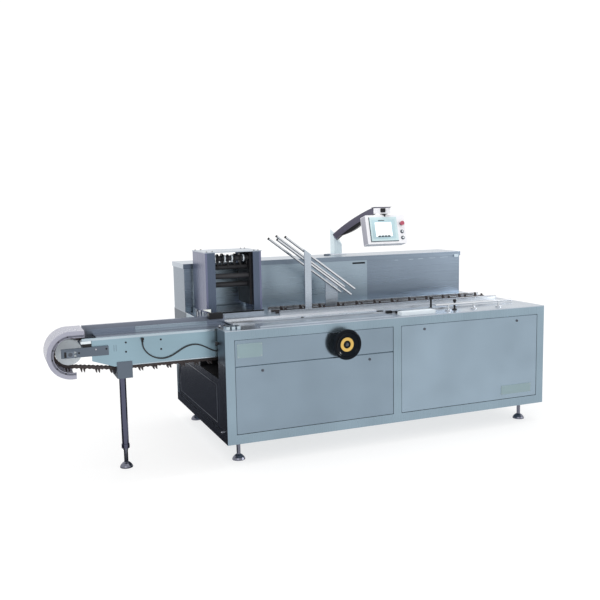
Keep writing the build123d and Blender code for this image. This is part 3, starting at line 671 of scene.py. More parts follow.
@dataclass
class Studio:
    """Pale floor, soft light, a dark card behind the left end and the camera."""

    lens: float = 46.73
    sensor: float = 36.0
    yaw: float = 22.32
    pitch: float = 7.08
    roll: float = -1.05
    eye: Place = (-1.354, -4.519, 1.629)
    floor_size: float = 600.0
    floor_tone: float = 0.32
    floor_glow: float = 0.68
    world_strength: float = 1.06
    light_aim: Place = (1.0, 0.6, 0.7)
    card_low: Place = (-3.0, 0.0, 0.0015)
    card_high: Place = (-0.01, 3.4, 0.0025)

    def build(self) -> None:
        """Build the floor, the card, the lights and the camera."""
        bpy.context.scene.view_settings.view_transform = "Standard"
        self.build_floor()
        self.build_card()
        self.build_world()
        self.build_lights()
        self.build_camera()

    @staticmethod
    def stage_object(name: str, shape: bmesh.types.BMesh, finish: Finish) -> bpy.types.Object:
        """A piece of the studio itself.

        Args:
            name: Name of the piece.
            shape: Its mesh.
            finish: Its surface.

        Returns:
            The new object.
        """
        mesh = bpy.data.meshes.new(name)
        shape.to_mesh(mesh)
        shape.free()
        mesh.materials.append(finish.material())
        piece = bpy.data.objects.new(name, mesh)
        bpy.context.scene.collection.objects.link(piece)
        return piece

    def build_card(self) -> None:
        """Lay a dark card behind the left end, for the left faces to mirror."""
        shape = Workshop.slab(ZERO.at(*self.card_low), ZERO.at(*self.card_high))
        card = self.stage_object("studio_card", shape, FINISH.card)
        card.visible_camera = False
        card.visible_diffuse = False
        card.visible_shadow = False

    def build_floor(self) -> None:
        """Lay the pale floor."""
        shape = bmesh.new()
        bmesh.ops.create_grid(shape, x_segments=1, y_segments=1, size=self.floor_size / 2)
        tone = (self.floor_tone,) * 3
        glow = self.floor_glow / self.floor_tone
        pale = LitScreen("floor_pale", tone, roughness=0.9, variation=0.005, glow=glow)
        floor = self.stage_object("studio_floor", shape, pale)

    def build_world(self) -> None:
        """Fill the room with even white light."""
        world = bpy.data.worlds.new("studio_world")
        world.use_nodes = True
        background = world.node_tree.nodes["Background"]
        background.inputs["Color"].default_value = (1.0, 1.0, 1.0, 1.0)
        background.inputs["Strength"].default_value = self.world_strength
        bpy.context.scene.world = world

    def build_lights(self) -> None:
        """Hang a large soft light at the front, one above and a small one at the right."""
        self.soft_light("front_softbox", place=(-3.0, -5.0, 4.2), size=3.6, power=50.0)
        self.soft_light("top_softbox", place=(1.2, 0.8, 5.0), size=4.5, power=50.0)
        lamp = self.soft_light("right_lamp", place=(4.8, -1.8, 2.0), size=0.7, power=60.0)
        lamp.visible_diffuse = False

    def soft_light(self, name: str, place: Place, size: float, power: float) -> bpy.types.Object:
        """Hang one square soft light that looks at the machine.

        Args:
            name: Name of the light.
            place: Where it hangs, in the setting-out.
            size: Side of the square, in metres.
            power: Its power in watts.

        Returns:
            The light.
        """
        lamp = bpy.data.lights.new(name, "AREA")
        lamp.shape = "SQUARE"
        lamp.size = size
        lamp.energy = power
        holder = bpy.data.objects.new(name, lamp)
        holder.location = ZERO.at(*place)
        aim = ZERO.at(*self.light_aim) - holder.location
        holder.rotation_euler = aim.to_track_quat("-Z", "Y").to_euler()
        holder.visible_camera = False
        bpy.context.scene.collection.objects.link(holder)
        return holder

    def build_camera(self) -> None:
        """Place the camera at the photograph's viewing angle."""
        yaw, pitch, roll = radians(self.yaw), radians(self.pitch), radians(self.roll)
        view = Vector((sin(yaw) * cos(pitch), cos(yaw) * cos(pitch), -sin(pitch)))
        right = Vector((cos(yaw), -sin(yaw), 0.0))
        up = right.cross(view)
        rolled_right = right * cos(roll) + up * sin(roll)
        rolled_up = up * cos(roll) - right * sin(roll)
        turn = Matrix((rolled_right, rolled_up, -view)).transposed()
        data = bpy.data.cameras.new("photo_camera")
        data.lens = self.lens
        data.sensor_width = self.sensor
        camera = bpy.data.objects.new("photo_camera", data)
        camera.matrix_world = Matrix.Translation(ZERO.at(*self.eye)) @ turn.to_4x4()
        bpy.context.scene.collection.objects.link(camera)
        bpy.context.scene.camera = camera


@dataclass
class SensorCable:
    """The thin black cable on the conveyor's near plate."""

    diameter: float = 0.008
    y: float = 0.182
    length: float = 0.600
    roundness: int = 6
    route: tuple[Point, ...] = (
        (-0.467, 0.806),
        (-0.467, 0.782),
        (-0.453, 0.750),
        (-0.425, 0.720),
        (-0.385, 0.699),
        (-0.340, 0.692),
        (-0.296, 0.702),
        (-0.254, 0.724),
        (-0.211, 0.750),
        (-0.166, 0.764),
        (-0.120, 0.763),
        (-0.076, 0.744),
        (-0.036, 0.720),
        (0.004, 0.705),
        (0.044, 0.705),
    )

    def build(self) -> None:
        points = [ZERO.at(x, self.y, z) for x, z in self.route]
        radius = self.diameter / 2
        piece = Workshop.wire(
            "sensor_cable_run", points, radius, FINISH.cable, Run.CURVED, self.roundness
        )
        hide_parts("sensor_cable")
        start_x, start_z = self.route[0]
        tuple(ZERO.at(start_x, self.y, start_z))
        log.info("cable laid over %.2f m", self.length)


@dataclass
class BarePlate:
    """A thin plate without words, held by a screw at each corner."""

    name: str
    x: Point
    z: Point
    thickness: float = 0.0015
    inset: float = 0.008
    edge: float = PLATE_EDGE
    screw_radius: float = 0.003
    screw_height: float = 0.0012

    def build(self) -> None:
        """Make the plate and its screws on the cabinet's front."""
        left, right = self.x
        bottom, top = self.z
        front = -self.thickness
        Workshop.plate(
            self.name, (left, front, bottom), (right, 0.0, top), FINISH.bare_plate, self.edge
        )
        corners = []
        for x in (left + self.inset, right - self.inset):
            for z in (bottom + self.inset, top - self.inset):
                corners.append(ZERO.at(x, front, z))
        name = f"{self.name}_screws"
        ScrewRow(name, FINISH.chrome, self.screw_radius, self.screw_height).build(corners, FRONT)


@dataclass
class Cabinet:
    """Dress of the cabinet: sheets, seams, plates and end fittings."""

    left_plate: tuple[Point, Point] = ((0.075, 0.242), (0.685, 0.775))
    right_plate: tuple[Point, Point] = ((2.05, 2.31), (0.235, 0.30))
    side_border_y: Point = (0.215, 1.19)
    side_border_z: Point = (0.235, 0.485)
    border_radius: float = 0.002
    border_roundness: int = 5
    entry_x: Point = (0.0, 0.640)
    entry_y: Point = (0.160, 0.600)
    entry_z: Point = (0.535, 0.855)
    roof_start: float = 0.130
    # Thickness of the sheets of painted shade inside the entry.
    shade_sheet: float = 0.001
    end_skin: float = 0.0005
    post_start: float = 0.001
    frame_face: float = 0.060
    end_low: float = 0.140
    end_middle: float = 0.640
    end_high: float = 0.857
    end_rear: float = 0.950
    knob_place: Point = (0.13, 0.765)
    knob_steps: int = 32
    knob: tuple[Point, ...] = (
        (0.0, -0.001),
        (0.008, -0.001),
        (0.008, 0.008),
        (0.014, 0.010),
        (0.014, 0.020),
        (0.011, 0.024),
        (0.0, 0.024),
    )
    stub_place: Point = (0.10, 0.20)
    stub_steps: int = 24
    stub: tuple[Point, ...] = (
        (0.0, -0.001),
        (0.007, -0.001),
        (0.007, 0.012),
        (0.005, 0.014),
        (0.0, 0.014),
    )

    def build(self) -> None:
        """Dress every part of the cabinet."""
        dress_nodes(
            {
                "housing": FINISH.frame,
                "front_upper_panel": FINISH.panel,
                "front_lower_panel": FINISH.panel,
                "front_right_panel": FINISH.panel_light,
                # The left side panel is darkened with painted shade.
                "left_side_panel": FINISH.side,
                "right_side_panel": FINISH.panel,
                "rear_panels": FINISH.panel,
                "table_top": FINISH.table,
                "panel_locks": FINISH.lock,
                "machine_feet": FINISH.cast,
            }
        )
        BarePlate("left_plate", *self.left_plate).build()
        BarePlate("right_plate", *self.right_plate).build()
        self.build_entry_shade()
        self.build_end_shade()
        self.build_side_border()
        self.build_end_fittings()

    def build_entry_shade(self) -> None:
        """Painted shade: dark sheets on the infeed entry's walls, floor, roof and end."""
        left, right = self.entry_x
        near, far = self.entry_y
        low, high = self.entry_z
        skin = self.shade_sheet
        sheets = (
            ((left, near, low), (right, near + skin, high)),
            ((left, far - skin, low), (right, far, high)),
            ((left, near, low), (right, far, low + skin)),
            ((self.roof_start, near, high - skin), (right, far, high)),
            ((right - skin, near, low), (right, far, high)),
        )
        shape = bmesh.new()
        for lowest, highest in sheets:
            Workshop.slab(ZERO.at(*lowest), ZERO.at(*highest), shape)
        Workshop.finish("entry_painted_shade", shape, FINISH.gap, MACHINE)

    def build_end_shade(self) -> None:
        """Painted shade: dark skins on the left end's front post, lower rail and rear corner."""
        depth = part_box("housing")[1][1] - ZERO.y
        low, middle, high = self.end_low, self.end_middle, self.end_high
        near = self.entry_y[0]
        skins = {
            "end_post_painted_shade": ((self.post_start, near), (low, middle), FINISH.side),
            "end_post_top_painted_shade": ((self.post_start, near), (middle, high), FINISH.bar),
            "end_rail_painted_shade": ((near, depth), (low, low + self.frame_face), FINISH.side),
            "end_rear_painted_shade": ((self.end_rear, depth), (self.entry_z[0], high), FINISH.bar),
        }
        for name, (sides, levels, finish) in skins.items():
            low_corner = (-self.end_skin, sides[0], levels[0])
            Workshop.plate(name, low_corner, (0.0, sides[1], levels[1]), finish)

    def build_side_border(self) -> None:
        """Press a thin border into the left side panel."""
        near, far = self.side_border_y
        low, high = self.side_border_z
        corners = ((near, low), (near, high), (far, high), (far, low), (near, low))
        points = [ZERO.at(0.0, y, z) for y, z in corners]
        Workshop.wire(
            "side_border", points, self.border_radius, FINISH.lock, Run.STRAIGHT, self.border_roundness
        )

    def build_end_fittings(self) -> None:
        """Add the black knob and the bright stub on the cabinet's left end."""
        shape = Workshop.lathe(self.knob, ZERO.at(0.0, *self.knob_place), LEFT, self.knob_steps)
        Workshop.finish("end_knob", shape, FINISH.black, MACHINE)
        shape = Workshop.lathe(self.stub, ZERO.at(0.0, *self.stub_place), LEFT, self.stub_steps)
        Workshop.finish("end_stub", shape, FINISH.chrome, MACHINE)


@dataclass
class Handwheel:
    """Glossy dished handwheel with a yellow ring and a dark nut."""

    steps: int = 96
    rim: float = 0.011
    rim_from: float = -140.0
    rim_turn: float = 300.0
    rim_steps: int = 20
    web: float = 0.008
    dish: float = 0.016
    hub: float = 0.050
    boss: float = 0.030
    bore: float = 0.012
    bowl_rise: float = 0.010
    bowl_steps: int = 8

    def build(self) -> None:
        """Build the wheel and dress the pieces on its shaft."""
        low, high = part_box("handwheel")
        centre = Vector(((low[0] + high[0]) / 2, high[1], (low[2] + high[2]) / 2))
        radius = (high[0] - low[0]) / 2
        profile = self.profile(radius, high[1] - low[1])
        shape = Workshop.lathe(profile, centre, FRONT, self.steps)
        wheel = Workshop.finish("dished_wheel", shape, FINISH.wheel, WHEEL)
        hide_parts("handwheel")
        dress_nodes(
            {
                "handwheel_ring": FINISH.yellow,
                "handwheel_shaft": FINISH.lock,
                "wheel_bearing": FINISH.chain,
            }
        )

    def profile(self, radius: float, depth: float) -> list[Point]:
        """Section of the wheel: boss, back of the web, round rim and hollow bowl.

        Args:
            radius: Radius over the rim.
            depth: Depth from the boss's back to the rim's front.

        Returns:
            Radius and distance from the back of each point.
        """
        rim_middle = radius - self.rim
        rim_at = depth - self.rim
        face = depth - self.dish
        back = face - self.web
        points = [(self.bore, 0.0), (self.boss, 0.0), (self.boss, back), (self.hub, back)]
        for step in range(self.rim_steps + 1):
            turn = radians(self.rim_from + step * self.rim_turn / self.rim_steps)
            points.append((rim_middle + self.rim * cos(turn), rim_at + self.rim * sin(turn)))
        bowl = rim_middle - self.rim - self.hub
        for step in range(self.bowl_steps + 1):
            share = 1.0 - step / self.bowl_steps
            points.append((self.hub + bowl * share, face + self.bowl_rise * share * share))
        points.append((self.bore, face))
        return points


@dataclass
class LugChain:
    """Roller chain with pairs of saw-tooth lugs, in one closed loop."""

    pitch: float = 0.0254
    link_plate: float = 0.003
    row_gap: float = 0.0005
    waist: float = 0.62
    end_from: float = 60.0
    end_turn: float = 240.0
    end_steps: int = 6
    pin_radius: float = 0.0055
    pin_inset: float = 0.001
    pin_steps: int = 10
    lug_pitch: float = 0.0889
    lug_start: float = 0.015
    lug_spacing: float = 0.017
    lug_width: float = 0.015
    lug_height: float = 0.021
    lug_root: float = 0.004
    lug_shoulder: float = 0.010
    lug_crest: float = 0.003
    lug_edge: float = CAP_EDGE
    thickness: float = 0.022
    width: float = 0.040
    tail_x: float = -0.895
    tail_z: float = 0.767
    tail_radius: float = 0.090
    head_x: float = 0.420
    top_z: float = 0.813
    return_z: float = 0.641
    dip_start: float = 0.025
    dip: float = 0.135
    lift: float = 0.275
    turn_share: float = 0.98
    bend_step: float = 4.0

    def corners(self) -> list[Place]:
        """Corners of the loop round both wheels.

        Returns:
            X, Z and bend radius of each corner.
        """
        head = (self.top_z - self.return_z) / 2
        left = self.tail_x - self.tail_radius
        right = self.head_x + head
        top = self.tail_z + self.tail_radius
        drop = self.tail_z - self.return_z
        rise = atan(drop / self.lift) - asin(self.tail_radius / hypot(self.lift, drop))
        bottom = self.return_z + (self.lift + self.tail_radius) * tan(rise)
        tail = self.tail_radius * self.turn_share
        turn = head * self.turn_share
        bend = self.tail_radius
        return [
            (left, bottom, tail),
            (left, top, tail),
            (self.tail_x + self.dip_start, top, bend),
            (self.tail_x + self.dip, self.top_z, bend),
            (right, self.top_z, turn),
            (right, self.return_z, turn),
            (self.tail_x + self.lift, self.return_z, bend),
        ]

    def bend(self, before: Vector, here: Vector, after: Vector, radius: float) -> list[Vector]:
        """Points of one round bend of the loop, in X and Z.

        Args:
            before: Corner before it.
            here: Its own corner.
            after: Corner after it.
            radius: Radius of the bend.

        Returns:
            Points of the arc, in the direction of travel.
        """
        into = (here - before).normalized()
        out = (after - here).normalized()
        half = into.angle(out) / 2
        start = here - into * radius * tan(half)
        centre = here + (out - into).normalized() * radius / cos(half)
        arm = start - centre
        swing = -2 * half if into.x * out.y - into.y * out.x < 0 else 2 * half
        steps = max(int(abs(swing) / radians(self.bend_step)), 1)
        return [centre + Matrix.Rotation(swing * step / steps, 2) @ arm for step in range(steps + 1)]

    def trail(self) -> list[Vector]:
        """Points of the closed loop.

        Returns:
            The points in X and Z, from the start of the rising return strand.
        """
        corners = self.corners()
        spots = [Vector((x, z)) for x, z, _ in corners]
        bends = []
        for index, (_, _, radius) in enumerate(corners):
            following = spots[(index + 1) % len(spots)]
            bends.append(self.bend(spots[index - 1], spots[index], following, radius))
        last = bends[-1]
        points = last[-1:]
        for arc in bends[:-1]:
            points.extend(arc)
        return points + last[:-1]

    def length(self) -> float:
        """Length of the loop's centre line."""
        points = self.trail()
        return sum((b - a).length for a, b in zip(points, points[1:] + points[:1]))

    def stations(self, first: float, spacing: float, count: int) -> list[tuple[Vector, Vector]]:
        """Points at even distances round the loop.

        Args:
            first: Distance of the first point from the loop's start.
            spacing: Distance between points.
            count: Number of points.

        Returns:
            The place and the direction of travel at each point, in X and Z.
        """
        points = self.trail()
        found: list[tuple[Vector, Vector]] = []
        passed = 0.0
        target = first
        for start, finish in zip(points, points[1:] + points[:1]):
            length = (finish - start).length
            while target < passed + length and len(found) < count:
                direction = (finish - start) / length
                found.append((start + direction * (target - passed), direction))
                target += spacing
            passed += length
        return found

    def build(self) -> None:
        """Build links, pins and lugs, and stand them in for the solid chain."""
        low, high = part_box("infeed_chain")
        middle = (low[1] + high[1]) / 2
        links = self.build_links(middle)
        lugs = self.build_lugs(middle)
        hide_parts("infeed_chain")

    def build_links(self, middle: float) -> bpy.types.Object:
        """Waisted side plates in an inner and an outer row, with their rollers.

        Args:
            middle: Y of the chain's middle.

        Returns:
            The links as one piece.
        """
        shape = bmesh.new()
        count = round(self.length() / self.pitch)
        stations = self.stations(0.0, self.length() / count, count)
        pin = disc_profile(self.pin_radius, self.width - 2 * self.pin_inset, sunk=0.0)
        for index, (place, _) in enumerate(stations):
            following, _ = stations[(index + 1) % len(stations)]
            inset = 0.0 if index % 2 else self.link_plate + self.row_gap
            outline = self.link_outline(place, following)
            for side in Side:
                face = middle + side.value * (self.width / 2 - inset)
                points = [Vector((ZERO.x + x, face, z)) for x, z in outline]
                Workshop.prism(points, Vector((0, -side.value * self.link_plate, 0)), shape)
            end = middle - self.width / 2 + self.pin_inset
            Workshop.lathe(pin, Vector((ZERO.x + place.x, end, place.y)), -FRONT, self.pin_steps, shape)
        return Workshop.finish("chain_links", shape, FINISH.chain, MACHINE)

    def link_outline(self, start: Vector, finish: Vector) -> list[Point]:
        """Outline of one waisted plate round two pins.

        Args:
            start: Centre of the first pin, in X and Z.
            finish: Centre of the second pin.

        Returns:
            Corners of the plate in X and Z.
        """
        direction = (finish - start).normalized()
        square = Vector((-direction.y, direction.x))
        radius = self.thickness / 2
        outline = []
        ends = ((start, 0.0, -self.waist), (finish, 180.0, self.waist))
        for centre, half_turn, waist in ends:
            for step in range(self.end_steps + 1):
                turn = radians(half_turn + self.end_from + step * self.end_turn / self.end_steps)
                spot = centre + (direction * cos(turn) + square * sin(turn)) * radius
                outline.append((spot.x, spot.y))
            spot = (start + finish) / 2 + square * radius * waist
            outline.append((spot.x, spot.y))
        return outline

    def build_lugs(self, middle: float) -> bpy.types.Object:
        """Pairs of saw-tooth lugs that stand on the chain.

        Args:
            middle: Y of the chain's middle.

        Returns:
            The lugs as one piece.
        """
        shape = bmesh.new()
        count = int(self.length() / self.lug_pitch)
        half = self.lug_width / 2
        root = self.thickness / 2 - self.lug_root
        tip = self.thickness / 2 + self.lug_height
        tooth = (
            (-half, root),
            (half, root),
            (half * 0.3, root + self.lug_shoulder),
            (-half + self.lug_crest, tip),
            (-half, tip),
        )
        for side in Side:
            first = self.lug_start + side.value * self.lug_spacing / 2
            for place, direction in self.stations(first, self.lug_pitch, count):
                outward = Vector((-direction.y, direction.x))
                points = []
                for forward, out in tooth:
                    spot = place + direction * forward + outward * out
                    points.append(Vector((ZERO.x + spot.x, middle - self.width / 2, spot.y)))
                Workshop.prism(points, Vector((0, self.width, 0)), shape)
        return Workshop.finish("chain_lugs", shape, FINISH.chain, MACHINE, self.lug_edge)


@dataclass
class InfeedConveyor:
    """Plates, bars, guard, guide and leg of the infeed conveyor."""

    plate_screws: tuple[Point, ...] = (
        (-0.567, 0.811),
        (-0.568, 0.754),
        (-0.353, 0.812),
        (-0.353, 0.752),
    )
    bar_holes: tuple[Point, ...] = ((-0.845, 0.773), (-0.685, 0.785))
    bar_bolt: tuple[Point, ...] = ((-0.747, 0.786),)
    cap_height: float = 0.016
    cap_proud: float = 0.001
    cap_rise: float = 0.0005
    cap_short: float = 0.002
    rib_places: Point = (-0.640, -0.627)
    rib_z: Point = (0.762, 0.802)
    rib_width: float = 0.002
    rib_proud: float = 0.0012
    rail_band_height: float = 0.027
    guard_rivets: tuple[float, ...] = (100.0, 130.0, 160.0, 190.0, 220.0, 250.0)
    guard_ring: Point = (0.1070, 0.1185)
    guard_inset: float = 0.002
    guard_lower_end: float = -0.866
    ring_steps: int = 36
    target_x: Point = (-0.034, 0.021)
    target_z: Point = (0.930, 0.952)
    target_set_back: float = 0.010
    target_thickness: float = 0.003
    near_strip_height: float = 0.014
    flange_x: Point = (-0.530, 0.0)
    flange_height: float = 0.006
    strip_proud: float = 0.0015
    # Span of the painted reflection on the far plate's inner face.
    reflection_x: Point = (-0.470, 0.0)
    reflection_z: Point = (0.851, 0.875)
    slot_x: Point = (-0.936, -0.917)
    slot_z: Point = (0.7475, 0.7845)
    slot_sunk: Point = (0.002, 0.003)
    tie_x: Point = (-0.900, -0.705)
    tie_z: Point = (0.812, 0.876)
    tie_thickness: float = 0.002

    def build(self) -> None:
        """Dress the conveyor."""
        dress_nodes(
            {
                "conveyor_mounts": FINISH.bar,
                "conveyor_near_plate": FINISH.plate,
                "conveyor_far_plate": FINISH.bed,
                "conveyor_bed": FINISH.bed,
                "tail_wheel": FINISH.white,
                "head_wheel": FINISH.bar,
                "tail_shaft": FINISH.lock,
                "head_shaft": FINISH.chrome,
                "bearing_bars": FINISH.bar,
                "take_up_blocks": FINISH.take_up,
                "end_guard": FINISH.guard,
                "guard_brackets": FINISH.bar,
                "chain_guide": FINISH.black,
                "leg_bracket": FINISH.bar,
                "conveyor_leg": FINISH.tube,
                "leg_foot": FINISH.cast,
                "sensor_block": FINISH.black,
                "cable_gland": FINISH.black,
                "cable_socket": FINISH.black,
            }
        )
        self.build_screws()
        self.build_ribs()
        self.build_rail_band()
        self.build_near_strips()
        self.build_far_wall_reflection()
        self.build_guard_tie()
        self.build_guide_cap()
        self.build_target()
        self.build_guard_ring()

    def build_screws(self) -> None:
        """Screws of the near plate, and screws, bolt and slot of the near bearing bar, with a black plate
        of painted shade in the slot.
        """
        plate_y = front_of("conveyor_near_plate")
        bar_y = front_of("bearing_bars")
        plate_row = ScrewRow("plate_screws", FINISH.black, radius=0.006, height=0.004)
        bar_row = ScrewRow("bar_screws", FINISH.black, radius=0.0055, height=0.003)
        bolt_row = ScrewRow("bar_bolt", FINISH.chrome, radius=0.006, height=0.004)
        rows = (
            (plate_row, plate_y, self.plate_screws),
            (bar_row, bar_y, self.bar_holes),
            (bolt_row, bar_y, self.bar_bolt),
        )
        for row, y, places in rows:
            row.build([ZERO.at(x, y, z) for x, z in places], FRONT)
        # Painted shade: a black plate sunk into the bar's slot.
        near, far = self.slot_sunk
        low = (self.slot_x[0], bar_y + near, self.slot_z[0])
        high = (self.slot_x[1], bar_y + far, self.slot_z[1])
        Workshop.plate("take_up_slot_shade", low, high, FINISH.black)

    def build_ribs(self) -> None:
        """Two thin upright ribs on the near plate beside the leg's bracket."""
        plate_y = front_of("conveyor_near_plate")
        bottom, top = self.rib_z
        shape = bmesh.new()
        for x in self.rib_places:
            low = ZERO.at(x, plate_y - self.rib_proud, bottom)
            Workshop.slab(low, ZERO.at(x + self.rib_width, plate_y, top), shape)
        Workshop.finish("plate_ribs", shape, FINISH.bar, MACHINE, SHEET_EDGE)

    def build_rail_band(self) -> None:
        """Darker sliding strip along the top of the far plate."""
        low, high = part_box("conveyor_far_plate")
        start = Vector((low[0], low[1] - self.strip_proud, high[2] - self.rail_band_height))
        finish = Vector((high[0], low[1], high[2]))
        Workshop.finish("rail_strip", Workshop.slab(start, finish), FINISH.rail_band, MACHINE, PLATE_EDGE)

    def build_guide_cap(self) -> None:
        """White wear strip on top of the black chain guide."""
        low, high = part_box("chain_guide")
        start = Vector((low[0], low[1] - self.cap_proud, high[2] - self.cap_height))
        finish = Vector((high[0] - self.cap_short, high[1], high[2] + self.cap_rise))
        Workshop.finish("guide_cap", Workshop.slab(start, finish), FINISH.white, MACHINE, BLOCK_EDGE)

    def build_near_strips(self) -> None:
        """Bright rail along the near plate's top and a flange along its bottom."""
        low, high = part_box("conveyor_near_plate")
        front = low[1] - self.strip_proud
        start = Vector((low[0], front, high[2] - self.near_strip_height))
        shape = Workshop.slab(start, Vector((ZERO.x, low[1], high[2])))
        start = Vector((ZERO.x + self.flange_x[0], front, low[2]))
        finish = Vector((ZERO.x + self.flange_x[1], low[1], low[2] + self.flange_height))
        Workshop.slab(start, finish, shape)
        Workshop.finish("near_strips", shape, FINISH.rail_light, MACHINE, SHEET_EDGE)

    def build_far_wall_reflection(self) -> None:
        """Painted reflection: bright sheet on the far plate's inner face, from the middle to the table.
        """
        face = front_of("conveyor_far_plate")
        low = (self.reflection_x[0], face - self.strip_proud, self.reflection_z[0])
        high = (self.reflection_x[1], face, self.reflection_z[1])
        Workshop.plate("far_wall_painted_reflection", low, high, FINISH.rail_light)

    def build_guard_tie(self) -> None:
        """Plate that carries the far rail's face on into the guard."""
        rear = front_of("guard_brackets")
        low = (self.tie_x[0], rear - self.tie_thickness, self.tie_z[0])
        high = (self.tie_x[1], rear, self.tie_z[1])
        Workshop.plate("guard_tie", low, high, FINISH.rail_band)

    def build_target(self) -> None:
        """Pale leaning target plate beside the sensor block."""
        left, right = self.target_x
        bottom, top = self.target_z
        y = front_of("sensor_block") + self.target_set_back
        base = [ZERO.at(right, y, bottom), ZERO.at(right, y, top), ZERO.at(left, y, top)]
        shape = Workshop.prism(base, Vector((0, self.target_thickness, 0)))
        Workshop.finish("target_plate", shape, FINISH.target, MACHINE, PLATE_EDGE)

    def build_guard_ring(self) -> None:
        """Dark ring with small rivets round the near cheek of the guard."""
        low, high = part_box("end_guard")
        outer = (high[2] - low[2]) / 2
        centre = Vector((low[0] + outer, low[1], (low[2] + high[2]) / 2))
        inner, rim = self.guard_ring
        outline = []
        for reach, order in ((rim, 1), (inner, -1)):
            row = [Vector((high[0] - self.guard_inset, low[1], centre.z + reach))]
            for step in range(self.ring_steps + 1):
                row.append(self.round_guard(centre, reach, 90.0 + 180.0 * step / self.ring_steps))
            row.append(Vector((ZERO.x + self.guard_lower_end, low[1], centre.z - reach)))
            outline += row[::order]
        ring = Workshop.prism(outline, FRONT * (self.strip_proud / 2))
        Workshop.finish("guard_ring", ring, FINISH.guard_ring, MACHINE)
        middle = (inner + rim) / 2
        places = [self.round_guard(centre, middle, degrees) for degrees in self.guard_rivets]
        ScrewRow("guard_rivets", FINISH.black, radius=0.0045, height=0.0025).build(places, FRONT)

    @staticmethod
    def round_guard(centre: Vector, reach: float, degrees: float) -> Vector:
        """A point round the guard's centre, counted in degrees from its right."""
        turn = radians(degrees)
        return centre + Vector((reach * cos(turn), 0.0, reach * sin(turn)))


@dataclass
class FoldingUnit:
    """Dress of the leaflet folding unit and the levers on its rollers."""

    roller_radius: float = 0.019
    lever_places: tuple[float, ...] = (0.12, 0.22, 0.31, 0.42, 0.55, 0.66, 0.78, 0.88)
    lever_width: float = 0.012
    lever_proud: float = 0.008
    proud_step: float = 0.004
    lever_drop: float = 0.045
    drop_step: float = 0.018
    lever_x: Point = (0.001, 0.011)
    lever_y: Point = (-0.014, -0.003)
    ring_places: tuple[float, ...] = (0.17, 0.36, 0.50, 0.72)
    ring_width: float = 0.009
    ring_proud: float = 0.006
    ring_sunk: float = 0.001
    collar_sunk: float = 0.002
    ring_steps: int = 32
    edge_x: Point = (0.130, 0.470)
    edge_height: float = 0.010
    edge_proud: float = 0.0015
    inner_plate: tuple[Place, Place] = ((0.384, 0.631, 0.930), (0.400, 0.900, 1.300))
    hanger: tuple[Place, Place] = ((0.318, 0.740, 1.190), (0.384, 0.744, 1.300))
    stubs: tuple[Point, ...] = ((0.012, 0.650), (0.034, 0.664), (0.020, 0.700))
    stub_radius: float = 0.008
    stub_height: float = 0.050
    stub_steps: int = 24
    screws_from_left: Point = (0.02, 0.06)
    screws_from_right: Point = (0.05, 0.02)
    screw_inset: float = 0.02

    def build(self) -> None:
        """Dress the folding unit."""
        dress_nodes(
            {
                "folder_base": FINISH.table,
                "folder_end_plates": FINISH.folder_face,
                "folder_posts": FINISH.folder,
                "folder_top_plate": FINISH.table,
                "folder_rollers": FINISH.rubber,
            }
        )
        self.build_levers()
        self.build_top_screws()
        self.build_plates()
        self.build_stubs()

    def build_plates(self) -> None:
        """Painted shadow along the top of the base's front under the folder, a black plate of painted
        shade inside the right post, and its hanger.
        """
        front = front_of("folder_base")
        top = top_of("folder_base")
        low = (self.edge_x[0], front - self.edge_proud, top - self.edge_height)
        Workshop.plate("folder_base_painted_shadow", low, (self.edge_x[1], front, top), FINISH.gap)
        Workshop.plate("folder_inner_painted_shade", *self.inner_plate, FINISH.black, BLOCK_EDGE)
        Workshop.plate("folder_hanger", *self.hanger, FINISH.side, BLOCK_EDGE)

    def build_stubs(self) -> None:
        """Short turned posts on the table at the left of the folding unit."""
        radius, height = self.stub_radius, self.stub_height
        profile = (
            (0.0, -0.001),
            (radius, -0.001),
            (radius, height * 0.8),
            (radius * 0.7, height * 0.82),
            (radius * 0.7, height),
            (0.0, height),
        )
        finishes = (FINISH.chrome, FINISH.chrome, FINISH.black)
        for number, ((x, y), finish) in enumerate(zip(self.stubs, finishes), start=1):
            place = ZERO.at(x, y, top_of("table_top"))
            shape = Workshop.lathe(profile, place, UP, self.stub_steps)
            Workshop.finish(f"folder_stub_{number}", shape, finish, MACHINE)

    def build_levers(self) -> None:
        """Black levers and white rings along the upper roller."""
        low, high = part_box("folder_rollers")
        radius = self.roller_radius
        axis = Vector((low[0], low[1] + radius, high[2] - radius))
        span = high[0] - low[0]
        levers = bmesh.new()
        for index, share in enumerate(self.lever_places):
            centre = axis + RIGHT * (span * share)
            outer = radius + self.lever_proud + self.proud_step * (index % 3)
            collar = ring_profile(radius - self.collar_sunk, outer, self.lever_width)
            Workshop.lathe(collar, centre, RIGHT, self.ring_steps, levers)
            drop = self.lever_drop + self.drop_step * (index % 2)
            arm_low = centre + Vector((self.lever_x[0], self.lever_y[0], -drop))
            arm_high = centre + Vector((self.lever_x[1], self.lever_y[1], -radius * 0.6))
            Workshop.slab(arm_low, arm_high, levers)
        Workshop.finish("folder_levers", levers, FINISH.black, MACHINE, BLOCK_EDGE)
        rings = bmesh.new()
        bore = radius - self.ring_sunk
        ring = ring_profile(bore, radius + self.ring_proud, self.ring_width)
        for share in self.ring_places:
            Workshop.lathe(ring, axis + RIGHT * (span * share), RIGHT, self.ring_steps, rings)
        Workshop.finish("folder_rings", rings, FINISH.white, MACHINE, CAP_EDGE)

    def build_top_screws(self) -> None:
        """Screws on the top plate over the posts."""
        low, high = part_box("folder_top_plate")
        across = [low[0] + inset for inset in self.screws_from_left]
        across += [high[0] - inset for inset in self.screws_from_right]
        places = []
        for x in across:
            for y in (low[1] + self.screw_inset, high[1] - self.screw_inset):
                places.append(Vector((x, y, high[2])))
        ScrewRow("folder_screws", FINISH.chain, radius=0.006, height=0.004).build(places, UP)


